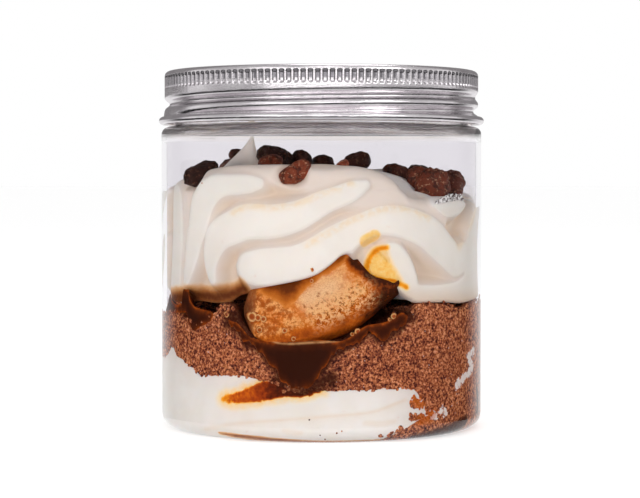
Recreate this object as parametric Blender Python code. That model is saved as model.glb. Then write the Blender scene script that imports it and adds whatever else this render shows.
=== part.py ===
"""A layered tiramisu in a clear screw-top jar, standing on its base, metres, +Z up, front towards -Y.

The jar is one turned shell and the lid one rolled shell screwed down on its neck. The jar holds white cream, crumbled
chocolate sponge, a soaked sponge finger with the coffee that ran out of it, and piped cream scattered with chocolate
drops. Angles go round the jar from the front, positive towards +X.
"""

import math

import bmesh
import bpy
import numpy as np
from mathutils import Euler, Matrix, Vector

MM = 0.001
GAP = 0.3 * MM  # free space kept between two pieces that touch

# Jar
JAR_RADIUS = 42.5 * MM
WALL = 1.4 * MM
INSIDE_RADIUS = JAR_RADIUS - WALL
FOOT_RADIUS = 38.5 * MM
FOOT_CORNER = 4.0 * MM
PUSH_UP_RADIUS = 32.0 * MM
PUSH_UP = 1.0 * MM
FLOOR = 2.0 * MM
FLOOR_CORNER = 3.0 * MM
SHOULDER = 79.4 * MM
SHOULDER_CORNER = 2.2 * MM
NECK_RADIUS = 38.9 * MM
NECK_TOP = 92.6 * MM
LIP_CORNER = 0.5 * MM

# Lid
LID_TOP = 94.0 * MM
LID_RADIUS = 41.6 * MM
LID_SHEET = 0.6 * MM
LID_CORNER = 1.3 * MM
PANEL_RADIUS = 37.6 * MM
PANEL_DROP = 0.4 * MM
LINER_RADIUS = 39.5 * MM
CURL_RADIUS = 1.05 * MM
CURL_CENTRE = (42.05 * MM, 80.95 * MM)
KNURLS = 144
KNURL_DEPTH = 0.45 * MM
KNURL_LOW = 89.5 * MM
KNURL_HIGH = 92.5 * MM
THREAD_PITCH = 3.9 * MM
THREAD_TOP = 87.3 * MM
THREAD_START = 110.0  # degrees from the front, on the right
THREAD_TURN = 440.0  # degrees that the rolled thread runs round the lid
THREAD_DEPTH = 1.35 * MM
THREAD_HALF_WIDTH = 0.95 * MM
THREAD_ZONE = (82.1 * MM, 88.2 * MM)

# Columns round each piece; a knurl takes two
SHELL_COLUMNS = 48
CREAM_COLUMNS = 60
CREAM_CROWDING = 24.0  # degrees by which the cream's columns crowd to the front
LAYER_COLUMNS = 44

# Food
FOOD_RADIUS = INSIDE_RADIUS - 0.35 * MM
FOOD_FLOOR = FLOOR + GAP
# Heights of the food's edges on the wall, as (degrees, millimetres)
BASE_TOP_EDGE = ((-180, 17), (-120, 19), (-74, 19.7), (-66, 22.4), (-58, 19.7), (-44, 16.2), (-30, 16.8), (-20, 14.5),
                 (-8, 12.3), (4, 13.5), (30, 13.5), (37, 11.2), (45, 8.6), (52, 7.9), (110, 6.4), (135, 7.2),
                 (165, 15))
BASE_LOW_EDGE = ((-180, 2.3), (18, 2.3), (30, 3.1), (40, 5.0), (48, 6.4), (52, 6.9), (110, 5.2), (135, 4.2), (150, 2.3))
BASE_RETREAT = ((-180, 0), (46, 0), (56, 10), (85, 16), (112, 12), (136, 0))
SPONGE_TOP_EDGE = ((-180, 34.5), (-110, 33.5), (-78, 29.6), (-60, 31.2), (-50, 28.6), (-42, 31.4), (-33, 34.4),
                   (-27, 28.5), (-20, 25.4), (5, 25.4), (14, 28.4), (24, 30.4), (32, 32.6), (40, 33.4), (60, 32.0),
                   (76, 34.4), (110, 35.4), (150, 35.9))
CREAM_LOW_EDGE = ((-180, 37), (-110, 36.4), (-69, 35.9), (-56, 37.8), (-30, 36.6), (-16, 39.2), (1, 42.9), (9, 46.6),
                  (16, 42.4), (24, 40.0), (33, 34.9), (47, 34.3), (60, 33.7), (76, 35.8), (110, 36.6), (150, 37.2))
CREAM_TOP_EDGE = ((-180, 64), (-130, 66), (-75, 64.2), (-55, 66), (-30, 68), (0, 68.6), (15, 67.6), (26, 65.4),
                  (35, 60.6), (46, 58.9), (58, 60.2), (75, 60.0), (105, 63), (150, 66.4))
BASE_MIDDLE = 14.5 * MM
SPONGE_MIDDLE = 33.0 * MM
CREAM_MIDDLE = 34.2 * MM
MIDDLE_RADIUS = 15.0 * MM

# Piped cream: the crests of its waves press flat on the wall along these lines, as (degrees, millimetres)
CREST_LINES = (
    ((-20, 65.0), (-34, 64.4), (-45, 62.2), (-49, 56), (-51, 48), (-53, 40)),
    ((14, 64.4), (3, 60.4), (-8, 56.8), (-18, 55.2), (-29, 54.8), (-37, 52), (-41, 46), (-38, 39)),
    ((-26, 43.8), (-14, 43.6), (-4, 45.2), (6, 49), (17, 53.4), (27, 55.2), (36, 52.6), (46, 48.2), (56, 44.8),
     (65, 48), (74, 57)),
    ((22, 47.6), (29, 44.4), (34, 39.5)),
    ((-70, 61), (-69, 50), (-70, 38)),
)
CREST_WIDTHS = (2.8 * MM, 3.1 * MM, 3.7 * MM, 2.4 * MM, 3.6 * MM)
FURROW_DEPTH = 3.6 * MM
FURROW_SLOPE = 4.2 * MM
EDGE_ROUND = 3.0 * MM
# Top of the piped cream
SWIRL_WAVE = 13.0 * MM
SWIRL_HEIGHT = 1.5 * MM
SWIRL_DISH = 0.6 * MM
PEAK_PLACE = (-18.4 * MM, 3.4 * MM)
PEAK_HEIGHT = 9.6 * MM
PEAK_SPREAD = 5.2 * MM
HOLLOW_PLACE = (27.0 * MM, -17.0 * MM)
HOLLOW_DEPTH = 3.4 * MM
HOLLOW_SPREAD = 11.0 * MM

# Soaked sponge finger, a rounded bar that leans back from the wall
FINGER_CENTRE = Vector((1.0 * MM, -31.5 * MM, 38.0 * MM))
FINGER_HALF = (21.5 * MM, 8.6 * MM, 11.6 * MM)  # along, through, across
FINGER_TILT = math.radians(25)
FINGER_LEAN = 0.28
FINGER_SQUARE = 2.4  # exponent of the rounded bar's section; 2 is an ellipse

# Coffee, as (degrees, millimetres) up and down the wall
POOL_TOP = ((-34, 30.3), (-28, 28.2), (-23, 25.9), (-18, 25.4), (6, 25.4), (14, 28.7), (22, 29.9), (31, 31.6))
POOL_LOW = ((-34, 29.5), (-28, 26.4), (-22, 23.2), (-14, 18.4), (-7, 13.4), (-4, 13.4), (3, 20.4), (9, 23.9),
            (16, 27.4), (20, 26.2), (26, 27.6), (31, 30.7))
POOL_DEPTH = 7.0 * MM
FILM_SPAN = (-80.0, -44.0)
FILM_DEPTH = 3.5 * MM

# Chocolate drops: place of the middle, half sizes, turn about X, Y and Z in degrees
DROPS = (
    ((-29.6, -20.5, 67.6), (5.4, 4.2, 2.9), (20, -22, 30)),
    ((-23.6, 9.0, 70.9), (2.9, 2.9, 2.4), (10, 0, 40)),
    ((-12.2, 1.0, 71.4), (4.6, 3.6, 3.0), (0, 28, 10)),
    ((-13.4, -9.0, 70.4), (3.0, 2.6, 1.8), (12, -10, 0)),
    ((-5.6, 4.5, 71.0), (3.0, 2.8, 2.5), (0, 10, 60)),
    ((-6.3, -36.2, 67.0), (3.8, 3.2, 2.8), (30, -8, 0)),
    ((0.4, 9.5, 70.2), (2.8, 2.6, 2.0), (0, 0, 20)),
    ((5.4, -9.0, 69.4), (2.0, 1.9, 1.8), (0, 0, 0)),
    ((9.6, 3.5, 70.2), (3.2, 3.0, 2.5), (0, -18, 30)),
    ((19.4, -6.0, 66.9), (4.4, 3.6, 2.7), (0, 24, 10)),
    ((24.2, -14.0, 64.3), (3.5, 2.9, 3.3), (30, 10, 0)),
    ((29.2, -22.6, 64.4), (4.3, 2.6, 4.6), (-10, 26, 48)),
    ((34.0, -9.5, 63.7), (3.1, 3.1, 3.5), (0, 14, 40)),
    ((12.0, 21.0, 69.0), (3.9, 3.3, 2.6), (10, 12, 70)),
    ((-6.5, 27.0, 69.2), (4.3, 3.4, 2.5), (-14, 6, 15)),
    ((-25.0, 23.5, 68.4), (3.6, 3.3, 2.9), (8, -16, 50)),
    ((27.5, 15.5, 66.6), (4.1, 3.2, 2.6), (4, 20, 35)),
    ((0.5, 35.0, 67.0), (3.5, 3.1, 2.7), (-20, 0, 65)),
)
DROP_SQUARE = 2.3
DROP_ROUGHNESS = 0.10

COLOURS = {
    "jar": ((0.93, 0.93, 0.95), 0.03, 0.0),
    "lid": ((0.72, 0.72, 0.73), 0.30, 1.0),
    "cream": ((0.86, 0.83, 0.77), 0.50, 0.0),
    "sponge": ((0.25, 0.10, 0.055), 0.85, 0.0),
    "finger": ((0.62, 0.33, 0.15), 0.65, 0.0),
    "coffee": ((0.065, 0.017, 0.006), 0.12, 0.0),
    "drop": ((0.055, 0.022, 0.015), 0.40, 0.0),
}


def clear_scene():
    for obj in list(bpy.data.objects):
        bpy.data.objects.remove(obj, do_unlink=True)


def material(slot):
    """The Principled material of one finish, made once."""
    made = bpy.data.materials.get(slot)
    if made is None:
        colour, roughness, metallic = COLOURS[slot]
        made = bpy.data.materials.new(slot)
        made.use_nodes = True
        shader = made.node_tree.nodes["Principled BSDF"]
        shader.inputs["Base Color"].default_value = (*colour, 1.0)
        shader.inputs["Roughness"].default_value = roughness
        shader.inputs["Metallic"].default_value = metallic
        if slot == "jar":
            shader.inputs["Transmission Weight"].default_value = 1.0
            shader.inputs["IOR"].default_value = 1.57
    return made


def place(name, bm, slot, smooth_to=40.0):
    """Makes the bmesh an object of that name, in triangles that face out, shaded smooth up to the given angle."""
    bmesh.ops.triangulate(bm, faces=bm.faces)
    bmesh.ops.recalc_face_normals(bm, faces=bm.faces)
    mesh = bpy.data.meshes.new(name)
    bm.to_mesh(mesh)
    bm.free()
    mesh.shade_smooth()
    mesh.set_sharp_from_angle(angle=math.radians(smooth_to))
    mesh.materials.append(material(slot))
    obj = bpy.data.objects.new(name, mesh)
    bpy.context.scene.collection.objects.link(obj)
    return obj


def angles(columns):
    """Angle from the front of each column, in degrees from -180."""
    return np.arange(columns) * 360.0 / columns - 180.0


def ring(radius, height, columns):
    """Points at these radii and heights, one for each column; a number stands for the same all round. Columns are a
    count, evenly spread, or the angles themselves."""
    turn = np.radians(angles(columns) if np.isscalar(columns) else columns)
    radius = np.broadcast_to(radius, turn.shape)
    height = np.broadcast_to(height, turn.shape)
    return np.stack([radius * np.sin(turn), -radius * np.cos(turn), height], axis=1)


def join_rings(rings):
    """A closed bmesh through rings of points, from pole to pole or back to the first ring. Where two rings have
    different numbers of points, one number is a multiple of the other and each wider face takes the extra points."""
    bm = bmesh.new()
    rows = [[bm.verts.new(point) for point in points] for points in rings]
    pairs = list(zip(rows, rows[1:]))
    if len(rows[0]) > 1:
        pairs.append((rows[-1], rows[0]))
    for first, second in pairs:
        count = min(len(first), len(second))
        if count == 1:
            pole, loop = (first, second) if len(first) == 1 else (second, first)
            for i, vert in enumerate(loop):
                bm.faces.new((pole[0], vert, loop[(i + 1) % len(loop)]))
            continue
        step_a, step_b = len(first) // count, len(second) // count
        for i in range(count):
            low = [first[(i * step_a + k) % len(first)] for k in range(step_a + 1)]
            high = [second[(i * step_b + k) % len(second)] for k in range(step_b, -1, -1)]
            bm.faces.new(low + high)
    return bm


def arc(centre, radius, start, end, steps):
    """Points (radius, height) of a round corner, its angles in degrees from straight out."""
    turns = np.radians(np.linspace(start, end, steps + 1))
    return [(centre[0] + radius * math.cos(t), centre[1] + radius * math.sin(t)) for t in turns]


def around(edge, degrees):
    """Height in metres at each angle of an edge given as (degrees, millimetres), rounded between its points and
    closed round the jar."""
    knots = np.array([p[0] for p in edge], float)
    values = np.array([p[1] for p in edge], float) * MM
    knots = np.concatenate([knots - 360, knots, knots + 360])
    return monotone(knots, np.tile(values, 3), (np.asarray(degrees) + 180) % 360 - 180)


def along(edge, degrees):
    """The same for an open edge, such as a pool's."""
    return monotone(np.array([p[0] for p in edge], float), np.array([p[1] for p in edge], float) * MM,
                    np.asarray(degrees, float))


def monotone(knots, values, at):
    """A cubic through the knots that doesn't swing past them: each knot's slope is the harmonic mean of its sides'."""
    run = np.diff(knots)
    rise = np.diff(values) / run
    slope = np.zeros(len(knots))
    same = rise[:-1] * rise[1:] > 0
    slope[1:-1][same] = 2 * rise[:-1][same] * rise[1:][same] / (rise[:-1] + rise[1:])[same]
    i = np.clip(np.searchsorted(knots, at, side="right") - 1, 0, len(run) - 1)
    t = (at - knots[i]) / run[i]
    h = run[i]
    return (values[i] * (2 * t**3 - 3 * t**2 + 1) + slope[i] * h * (t**3 - 2 * t**2 + t)
            + values[i + 1] * (3 * t**2 - 2 * t**3) + slope[i + 1] * h * (t**3 - t**2))


def smooth_step(value):
    value = np.clip(value, 0.0, 1.0)
    return value * value * (3 - 2 * value)


# Jar: blown clear plastic, with a pushed-up base, a round shoulder and a plain neck under the lid
def make_jar():
    shoulder_in = SHOULDER_CORNER - WALL * 0.6
    profile = [(0, PUSH_UP), (PUSH_UP_RADIUS, PUSH_UP), (PUSH_UP_RADIUS + 2 * MM, 0)]
    profile += arc((FOOT_RADIUS, FOOT_CORNER), FOOT_CORNER, -90, 0, 3)
    profile += arc((JAR_RADIUS - SHOULDER_CORNER, SHOULDER - SHOULDER_CORNER), SHOULDER_CORNER, 0, 90, 3)
    profile += [(NECK_RADIUS, SHOULDER + 0.2 * MM)]
    profile += arc((NECK_RADIUS - LIP_CORNER, NECK_TOP - LIP_CORNER), LIP_CORNER, 0, 90, 1)
    profile += [(NECK_RADIUS - WALL, NECK_TOP), (NECK_RADIUS - WALL, SHOULDER - WALL + 0.2 * MM)]
    profile += arc((INSIDE_RADIUS - shoulder_in, SHOULDER - WALL - shoulder_in), shoulder_in, 90, 0, 2)
    profile += arc((INSIDE_RADIUS - FLOOR_CORNER, FLOOR + FLOOR_CORNER), FLOOR_CORNER, 0, -90, 2)
    profile += [(0, FLOOR)]
    rings = [ring(r, z, SHELL_COLUMNS) if r else np.array([(0, 0, z)]) for r, z in profile]
    return place("jar", join_rings(rings), "jar")


# Lid: a metal shell on a plain liner, with a curled hem, a rolled thread, a knurled grip and a sunk top panel
def thread_depth(height):
    """How far the rolled thread draws the skirt in at one height, for each column: a helix that fades at its ends."""
    depth = np.zeros(SHELL_COLUMNS)
    for turn in range(2):
        run = (THREAD_START - angles(SHELL_COLUMNS)) % 360 + 360 * turn
        centre = THREAD_TOP - THREAD_PITCH * run / 360
        fade = smooth_step(run / 40) * smooth_step((THREAD_TURN - run) / 40)
        depth += THREAD_DEPTH * fade * np.exp(-(((height - centre) / THREAD_HALF_WIDTH) ** 2))
    return depth


def knurled(height):
    """A ring of the grip: every second point pressed in."""
    pressed = np.arange(2 * KNURLS) % 2 * KNURL_DEPTH
    return ring(LID_RADIUS - pressed, height, 2 * KNURLS)


def make_lid():
    skirt_heights = np.linspace(*THREAD_ZONE, 9)
    under = LID_TOP - PANEL_DROP - LID_SHEET
    rings = [np.array([(0, 0, under)]), ring(LINER_RADIUS, under, SHELL_COLUMNS)]
    rings += [ring(LINER_RADIUS, THREAD_ZONE[0] - 0.4 * MM, SHELL_COLUMNS)]
    curl = arc(CURL_CENTRE, CURL_RADIUS, -150, 80, 5)
    rings += [ring(r, z, SHELL_COLUMNS) for r, z in curl]
    rings += [ring(LID_RADIUS + 0.1 * MM - thread_depth(z), z, SHELL_COLUMNS) for z in skirt_heights]
    rings += [ring(LID_RADIUS, KNURL_LOW - 0.4 * MM, SHELL_COLUMNS)]
    rings += [knurled(KNURL_LOW), knurled(KNURL_HIGH)]
    corner = arc((LID_RADIUS - LID_CORNER, LID_TOP - LID_CORNER), LID_CORNER, 10, 90, 3)
    rings += [ring(r, z, SHELL_COLUMNS) for r, z in corner]
    rings += [ring(PANEL_RADIUS, LID_TOP, SHELL_COLUMNS),
              ring(PANEL_RADIUS - 0.8 * MM, LID_TOP - PANEL_DROP, SHELL_COLUMNS),
              np.array([(0, 0, LID_TOP - PANEL_DROP)])]
    return place("lid", join_rings(rings), "lid")


def wall_radius(height, grow=0.0):
    """Radius of food pressed to the wall at a height, following the jar's round inner corner at the floor."""
    corner = FLOOR_CORNER
    below = np.clip(corner - (height - FOOD_FLOOR), 0, corner)
    return FOOD_RADIUS + grow - corner + np.sqrt(corner**2 - below**2)


def bell(radius, middle, edge):
    """Height of a layer's face at a radius: level in the middle, and at the edge's height by the wall."""
    return middle + (edge - middle) * smooth_step((radius - MIDDLE_RADIUS) / (FOOD_RADIUS - MIDDLE_RADIUS))


# White cream at the bottom. On the right it thins to a wedge in the crumbs and then leaves the wall.
def base_body(grow):
    """Bmesh of the bottom cream, or with grow over 0 the space that it takes out of the sponge."""
    turn = angles(LAYER_COLUMNS)
    edge = FOOD_RADIUS - around(BASE_RETREAT, turn)
    top, low = around(BASE_TOP_EDGE, turn) + grow, around(BASE_LOW_EDGE, turn) - grow
    middle = BASE_MIDDLE + grow
    floor, spread, outside = FOOD_FLOOR, 0, edge
    if grow:
        floor, spread = FOOD_FLOOR - 1 * MM, 5 * MM
        outside = np.where(edge > FOOD_RADIUS - 1 * MM, edge + 2 * MM, edge + grow)
        low = np.where(low < FOOD_FLOOR + 0.2 * MM, floor, low)
    corner = np.minimum(wall_radius(low, spread), outside - 0.4 * MM)
    rings = [np.array([(0, 0, floor)]), ring(24 * MM, floor, LAYER_COLUMNS), ring(corner, low, LAYER_COLUMNS)]
    for share in (0.26, 0.75):
        height = low + (top - low) * share
        rings.append(ring(np.minimum(outside, wall_radius(height, spread)), height, LAYER_COLUMNS))
    if grow:
        rings.append(ring(outside, top, LAYER_COLUMNS))
    rings.append(ring(edge - 0.5 * MM, top, LAYER_COLUMNS))
    for share in (0.85, 0.62, 0.35):
        rings.append(ring(edge * share, middle + (top - middle) * share**3, LAYER_COLUMNS))
    rings.append(np.array([(0, 0, middle)]))
    return join_rings(rings)


def bar_points(grow, around_steps, along_steps):
    """Rings of a rounded bar: superellipse sections that shrink to a blunt pole at both ends."""
    exponent = 2 / FINGER_SQUARE
    half = [size + grow for size in FINGER_HALF]
    rings = []
    for share in np.linspace(-90, 90, along_steps + 1)[1:-1]:
        s, c = math.sin(math.radians(share)), math.cos(math.radians(share))
        u = half[0] * math.copysign(abs(s) ** exponent, s)
        turn = np.radians(np.arange(around_steps) * 360 / around_steps)
        v = half[1] * c**exponent * np.sign(np.cos(turn)) * np.abs(np.cos(turn)) ** exponent
        w = half[2] * c**exponent * np.sign(np.sin(turn)) * np.abs(np.sin(turn)) ** exponent
        rings.append(np.stack([np.full(around_steps, u), v, w], axis=1))
    return [np.array([(-half[0], 0, 0)]), *rings, np.array([(half[0], 0, 0)])]


def finger_body(grow, around_steps=20, along_steps=10):
    """Bmesh of the sponge finger in place, soft enough to take the wall's curve where it meets it."""
    tilt = Matrix.Rotation(-FINGER_TILT, 3, "Y")
    placed = []
    for points in bar_points(grow, around_steps, along_steps):
        points = points @ np.array(tilt).T + np.array(FINGER_CENTRE)
        points[:, 1] += FINGER_LEAN * (points[:, 2] - FINGER_CENTRE.z)
        radius = np.hypot(points[:, 0], points[:, 1])
        squeeze = np.minimum(1.0, (FOOD_RADIUS + (3 * MM if grow else 0)) / radius)
        points[:, :2] *= squeeze[:, None]
        placed.append(points)
    return join_rings(placed)


# Coffee that ran out of the finger: a pool at the front and a film on the left, both against the wall
def slab_on_wall(name, span, columns, top, low, depth, grow):
    """A body between two edges on the wall, that many millimetres deep in the middle of its span and thin at its ends.
    Grown, it passes the wall and stands for the space that it takes out of a neighbour."""
    turn = np.linspace(span[0] - grow / MM, span[1] + grow / MM, columns)
    share = np.sin(np.linspace(0.25, math.pi - 0.25, columns))
    high, deep = top(turn) + grow, low(turn) - grow
    inner = FOOD_RADIUS - depth * share - grow
    outer = np.full(columns, FOOD_RADIUS + (2 * MM if grow else 0))
    pinch = (high - deep) * 0.18
    corners = ((outer, deep), (outer, high), (inner, high - pinch), (inner, deep + pinch))
    bm = bmesh.new()
    rows = []
    for radius, height in corners:
        points = np.stack([radius * np.sin(np.radians(turn)), -radius * np.cos(np.radians(turn)), height], axis=1)
        rows.append([bm.verts.new(point) for point in points])
    for k in range(4):
        first, second = rows[k], rows[(k + 1) % 4]
        for i in range(columns - 1):
            bm.faces.new((first[i], first[i + 1], second[i + 1], second[i]))
    for end in (0, columns - 1):
        bm.faces.new([row[end] for row in rows])
    return bm


def pool_body(grow):
    return slab_on_wall("pool", (-33.5, 30.5), 26, lambda t: along(POOL_TOP, t), lambda t: along(POOL_LOW, t),
                        POOL_DEPTH, grow)


def film_body(grow):
    return slab_on_wall("film", FILM_SPAN, 14, lambda t: around(CREAM_LOW_EDGE, t) - 0.5 * MM,
                        lambda t: around(SPONGE_TOP_EDGE, t) + 0.5 * MM, FILM_DEPTH, grow)


# Crumbled chocolate sponge: a block from the floor up, with room for what it holds
def sponge_body():
    turn = angles(LAYER_COLUMNS)
    top = around(SPONGE_TOP_EDGE, turn)
    rings = [np.array([(0, 0, FOOD_FLOOR)]), ring(26 * MM, FOOD_FLOOR, LAYER_COLUMNS)]
    for height in (FOOD_FLOOR, FOOD_FLOOR + 1 * MM, FOOD_FLOOR + FLOOR_CORNER):
        rings.append(ring(wall_radius(height), height, LAYER_COLUMNS))
    rings.append(ring(FOOD_RADIUS, top - 0.8 * MM, LAYER_COLUMNS))
    rings.append(ring(FOOD_RADIUS - 0.8 * MM, top, LAYER_COLUMNS))
    for radius in (34 * MM, 27 * MM, 19 * MM):
        rings.append(ring(radius, bell(radius, SPONGE_MIDDLE, top), LAYER_COLUMNS))
    rings.append(np.array([(0, 0, SPONGE_MIDDLE)]))
    return join_rings(rings)


# Piped cream
def smooth_line(points, steps):
    """A rounded line through points (degrees, millimetres), as lengths along the wall and heights in metres."""
    p = np.array(points, float)
    p = np.vstack([2 * p[0] - p[1], p, 2 * p[-1] - p[-2]])
    t = np.linspace(0, 1, steps, endpoint=False)[:, None]
    spans = [0.5 * (2 * b + (c - a) * t + (2 * a - 5 * b + 4 * c - d) * t**2 + (3 * b - a - 3 * c + d) * t**3)
             for a, b, c, d in zip(p, p[1:], p[2:], p[3:])]
    line = np.vstack([*spans, p[-2]])
    return np.stack([np.radians(line[:, 0]) * FOOD_RADIUS, line[:, 1] * MM], axis=1)


def off_crest(degrees, height):
    """Distance from each point of the wall to the nearest crest's flat, 0 on it. The back has the same crests."""
    nearest = np.full(np.shape(degrees), 1.0)
    for half_turn in (0, 180):
        across = np.radians((degrees - half_turn + 180) % 360 - 180) * FOOD_RADIUS
        for line, width in zip(CREST_LINES, CREST_WIDTHS):
            route = smooth_line(line, 6)
            gap = np.hypot(across[..., None] - route[:, 0], height[..., None] - route[:, 1]).min(axis=-1)
            nearest = np.minimum(nearest, gap - width)
    return np.maximum(nearest, 0)


def furrow(degrees, height):
    """How far the cream stands back from the wall: a rounded furrow between crests."""
    return FURROW_DEPTH * smooth_step(off_crest(degrees, height) / FURROW_SLOPE)


def swirl(x, y, edge):
    """Height of the cream's top: one spiral wave inside the rim, a drawn-up peak, and a hollow under the drops."""
    radius = np.hypot(x, y)
    turn = np.arctan2(x, -y)
    inward = 1 - (radius / FOOD_RADIUS) ** 2
    wave = np.cos(2 * math.pi * radius / SWIRL_WAVE - turn) * SWIRL_HEIGHT * np.minimum(1, 3 * inward)
    peak = PEAK_HEIGHT * np.exp(-np.hypot(x - PEAK_PLACE[0], y - PEAK_PLACE[1]) / PEAK_SPREAD)
    hollow = HOLLOW_DEPTH * np.exp(-((x - HOLLOW_PLACE[0])**2 + (y - HOLLOW_PLACE[1])**2) / HOLLOW_SPREAD**2)
    level = edge + (66.6 * MM - edge) * smooth_step(2.2 * inward) + SWIRL_DISH * inward
    return level + wave + peak - hollow


def cream_body():
    turn = angles(CREAM_COLUMNS)
    turn = turn - CREAM_CROWDING * np.sin(np.radians(turn))
    low, high = around(CREAM_LOW_EDGE, turn), around(CREAM_TOP_EDGE, turn)
    rings = [np.array([(0, 0, CREAM_MIDDLE)])]
    for radius in (22 * MM, 33 * MM):
        rings.append(ring(radius, bell(radius, CREAM_MIDDLE, low), turn))
    heights = [low + (high - EDGE_ROUND - low) * share for share in np.linspace(0, 1, 11)]
    for row, height in enumerate(heights):
        tuck = 1.2 * MM if row == 0 else 0
        rings.append(ring(FOOD_RADIUS - tuck - furrow(turn, height), height, turn))
    for share in (45, 90):
        inset = EDGE_ROUND * (1 - math.cos(math.radians(share)))
        height = high - EDGE_ROUND * (1 - math.sin(math.radians(share)))
        rings.append(ring(FOOD_RADIUS - inset - furrow(turn, height), height, turn))
    for radius in np.array((32, 27, 22, 17.6, 12, 6)) * MM:
        points = ring(radius, 0, turn)
        if abs(radius - math.hypot(*PEAK_PLACE)) < 2 * MM:
            tip = np.hypot(points[:, 0] - PEAK_PLACE[0], points[:, 1] - PEAK_PLACE[1]).argmin()
            points[tip, :2] = PEAK_PLACE
        points[:, 2] = swirl(points[:, 0], points[:, 1], high)
        rings.append(points)
    top = swirl(np.zeros(1), np.zeros(1), np.array([66 * MM]))
    rings.append(np.array([(0, 0, top[0])]))
    return join_rings(rings)


# Chocolate drops
def drop_body(number, grow):
    """A rounded, dented drop: a superellipsoid of 8 by 5 points, each pushed in or out a little by a seeded draw."""
    centre, half, turns = DROPS[number]
    draw = np.random.default_rng(100 + number)
    exponent = 2 / DROP_SQUARE
    rings = []
    for share in (-54, -20, 20, 54):
        s, c = math.sin(math.radians(share)), math.cos(math.radians(share))
        turn = np.radians(np.arange(8) * 45 + 22.5 * (len(rings) % 2))
        dent = 1 - DROP_ROUGHNESS * draw.random(8)
        x = c**exponent * np.cos(turn) * dent
        y = c**exponent * np.sin(turn) * dent
        rings.append(np.stack([x, y, np.full(8, math.copysign(abs(s) ** exponent, s))], axis=1))
    rings = [np.array([(0, 0, -1.0)]), *rings, np.array([(0, 0, 1.0)])]
    size = np.array([(h * MM + grow) for h in half])
    spin = np.array(Euler([math.radians(a) for a in turns]).to_matrix())
    return join_rings([(points * size) @ spin.T + np.array(centre) * MM for points in rings])


def cutter(name, bm, group):
    """A hidden body in a collection, for a Boolean to take away."""
    obj = place(name, bm, "sponge")
    bpy.context.scene.collection.objects.unlink(obj)
    group.objects.link(obj)
    obj.hide_render = True
    obj.display_type = "WIRE"


def cut(obj, bodies):
    """Takes the bodies, given by name, out of the object and removes them."""
    group = bpy.data.collections.new(f"{obj.name}_cutters")
    bpy.context.scene.collection.children.link(group)
    for name, bm in bodies.items():
        cutter(name, bm, group)
    modifier = obj.modifiers.new("room", "BOOLEAN")
    modifier.operation = "DIFFERENCE"
    modifier.operand_type = "COLLECTION"
    modifier.collection = group
    modifier.solver = "EXACT"
    bpy.context.view_layer.update()
    graph = bpy.context.evaluated_depsgraph_get()
    made = bpy.data.meshes.new_from_object(obj.evaluated_get(graph))
    obj.modifiers.clear()
    obj.data = made
    for helper in list(group.objects):
        bpy.data.objects.remove(helper, do_unlink=True)
    bpy.data.collections.remove(group)


def main():
    clear_scene()
    make_jar()
    make_lid()
    place("cream_base", base_body(0), "cream")
    place("sponge_finger", finger_body(0), "finger")
    pool = place("coffee_pool", pool_body(0), "coffee")
    cut(pool, {"finger_room": finger_body(GAP)})
    place("coffee_film", film_body(0), "coffee")
    sponge = place("chocolate_sponge", sponge_body(), "sponge")
    cut(sponge, {"base_room": base_body(GAP), "pool_room": pool_body(2 * GAP), "finger_room": finger_body(GAP),
                 "film_room": film_body(2 * GAP)})
    cream = place("piped_cream", cream_body(), "cream")
    rooms = {"finger_room": finger_body(GAP), "film_room": film_body(2 * GAP)}
    for number in range(len(DROPS)):
        place(f"chocolate_drop_{number + 1:02d}", drop_body(number, 0), "drop", 60)
        rooms[f"drop_room_{number + 1:02d}"] = drop_body(number, GAP)
    cut(cream, rooms)


main()
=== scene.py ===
import math

import bpy
import numpy as np
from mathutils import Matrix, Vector


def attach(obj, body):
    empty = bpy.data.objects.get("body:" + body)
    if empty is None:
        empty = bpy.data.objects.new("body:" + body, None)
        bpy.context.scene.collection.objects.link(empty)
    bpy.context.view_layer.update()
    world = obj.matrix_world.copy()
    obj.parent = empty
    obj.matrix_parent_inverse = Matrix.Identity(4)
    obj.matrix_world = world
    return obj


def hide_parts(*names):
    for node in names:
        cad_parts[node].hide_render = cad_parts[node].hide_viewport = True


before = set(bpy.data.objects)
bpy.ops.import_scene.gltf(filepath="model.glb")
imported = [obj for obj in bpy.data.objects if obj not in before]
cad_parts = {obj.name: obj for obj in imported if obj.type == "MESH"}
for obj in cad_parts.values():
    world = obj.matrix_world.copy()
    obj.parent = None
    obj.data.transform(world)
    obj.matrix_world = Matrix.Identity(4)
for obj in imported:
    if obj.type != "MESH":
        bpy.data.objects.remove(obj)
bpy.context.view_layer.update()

# The set: a pale floor that runs out of sight, a bright room with a dimmer ceiling and six soft lamps. A
# black flag is bent round the jar below its lid, and two grey cards stand above it at the back; only
# reflections see them, so that the clear wall stays free of glare, as it does before a dark studio.
MM = 0.001
PICTURE_WIDTH = 640
FOCAL_PIXELS = 2070
EYE_DISTANCE = 552 * MM
EYE_HEIGHT = 64.3 * MM
EYE_LEFT = -0.37 * MM
EYE_PITCH = 1.8  # degrees down
FLOOR_SIZE = 60.0
BACK_LIGHT = 1.0
FRONT_LIGHT = 0.64
CEILING_LIGHT = 0.50
FLOOR_GLOW, FAR_FLOOR_GLOW, FLOOR_GLOW_REACH = 0.42, 0.5, 0.4
FLAG_RADIUS = 0.26
FLAG_FOOT, FLAG_HEIGHT = -0.045, 0.080
FLAG_REACH = 160.0  # degrees to each side of the front
FLAG_FADE = (0.38, 0.82)  # shares of its radius behind the jar, between which the cloth brightens
CARD_FOOT, CARD_TOP, CARD_SPAN = FLAG_HEIGHT + 0.008, 0.5, 62.0
CARD_STEPS = 46

scene = bpy.context.scene
scene.view_settings.view_transform = "Standard"


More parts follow.
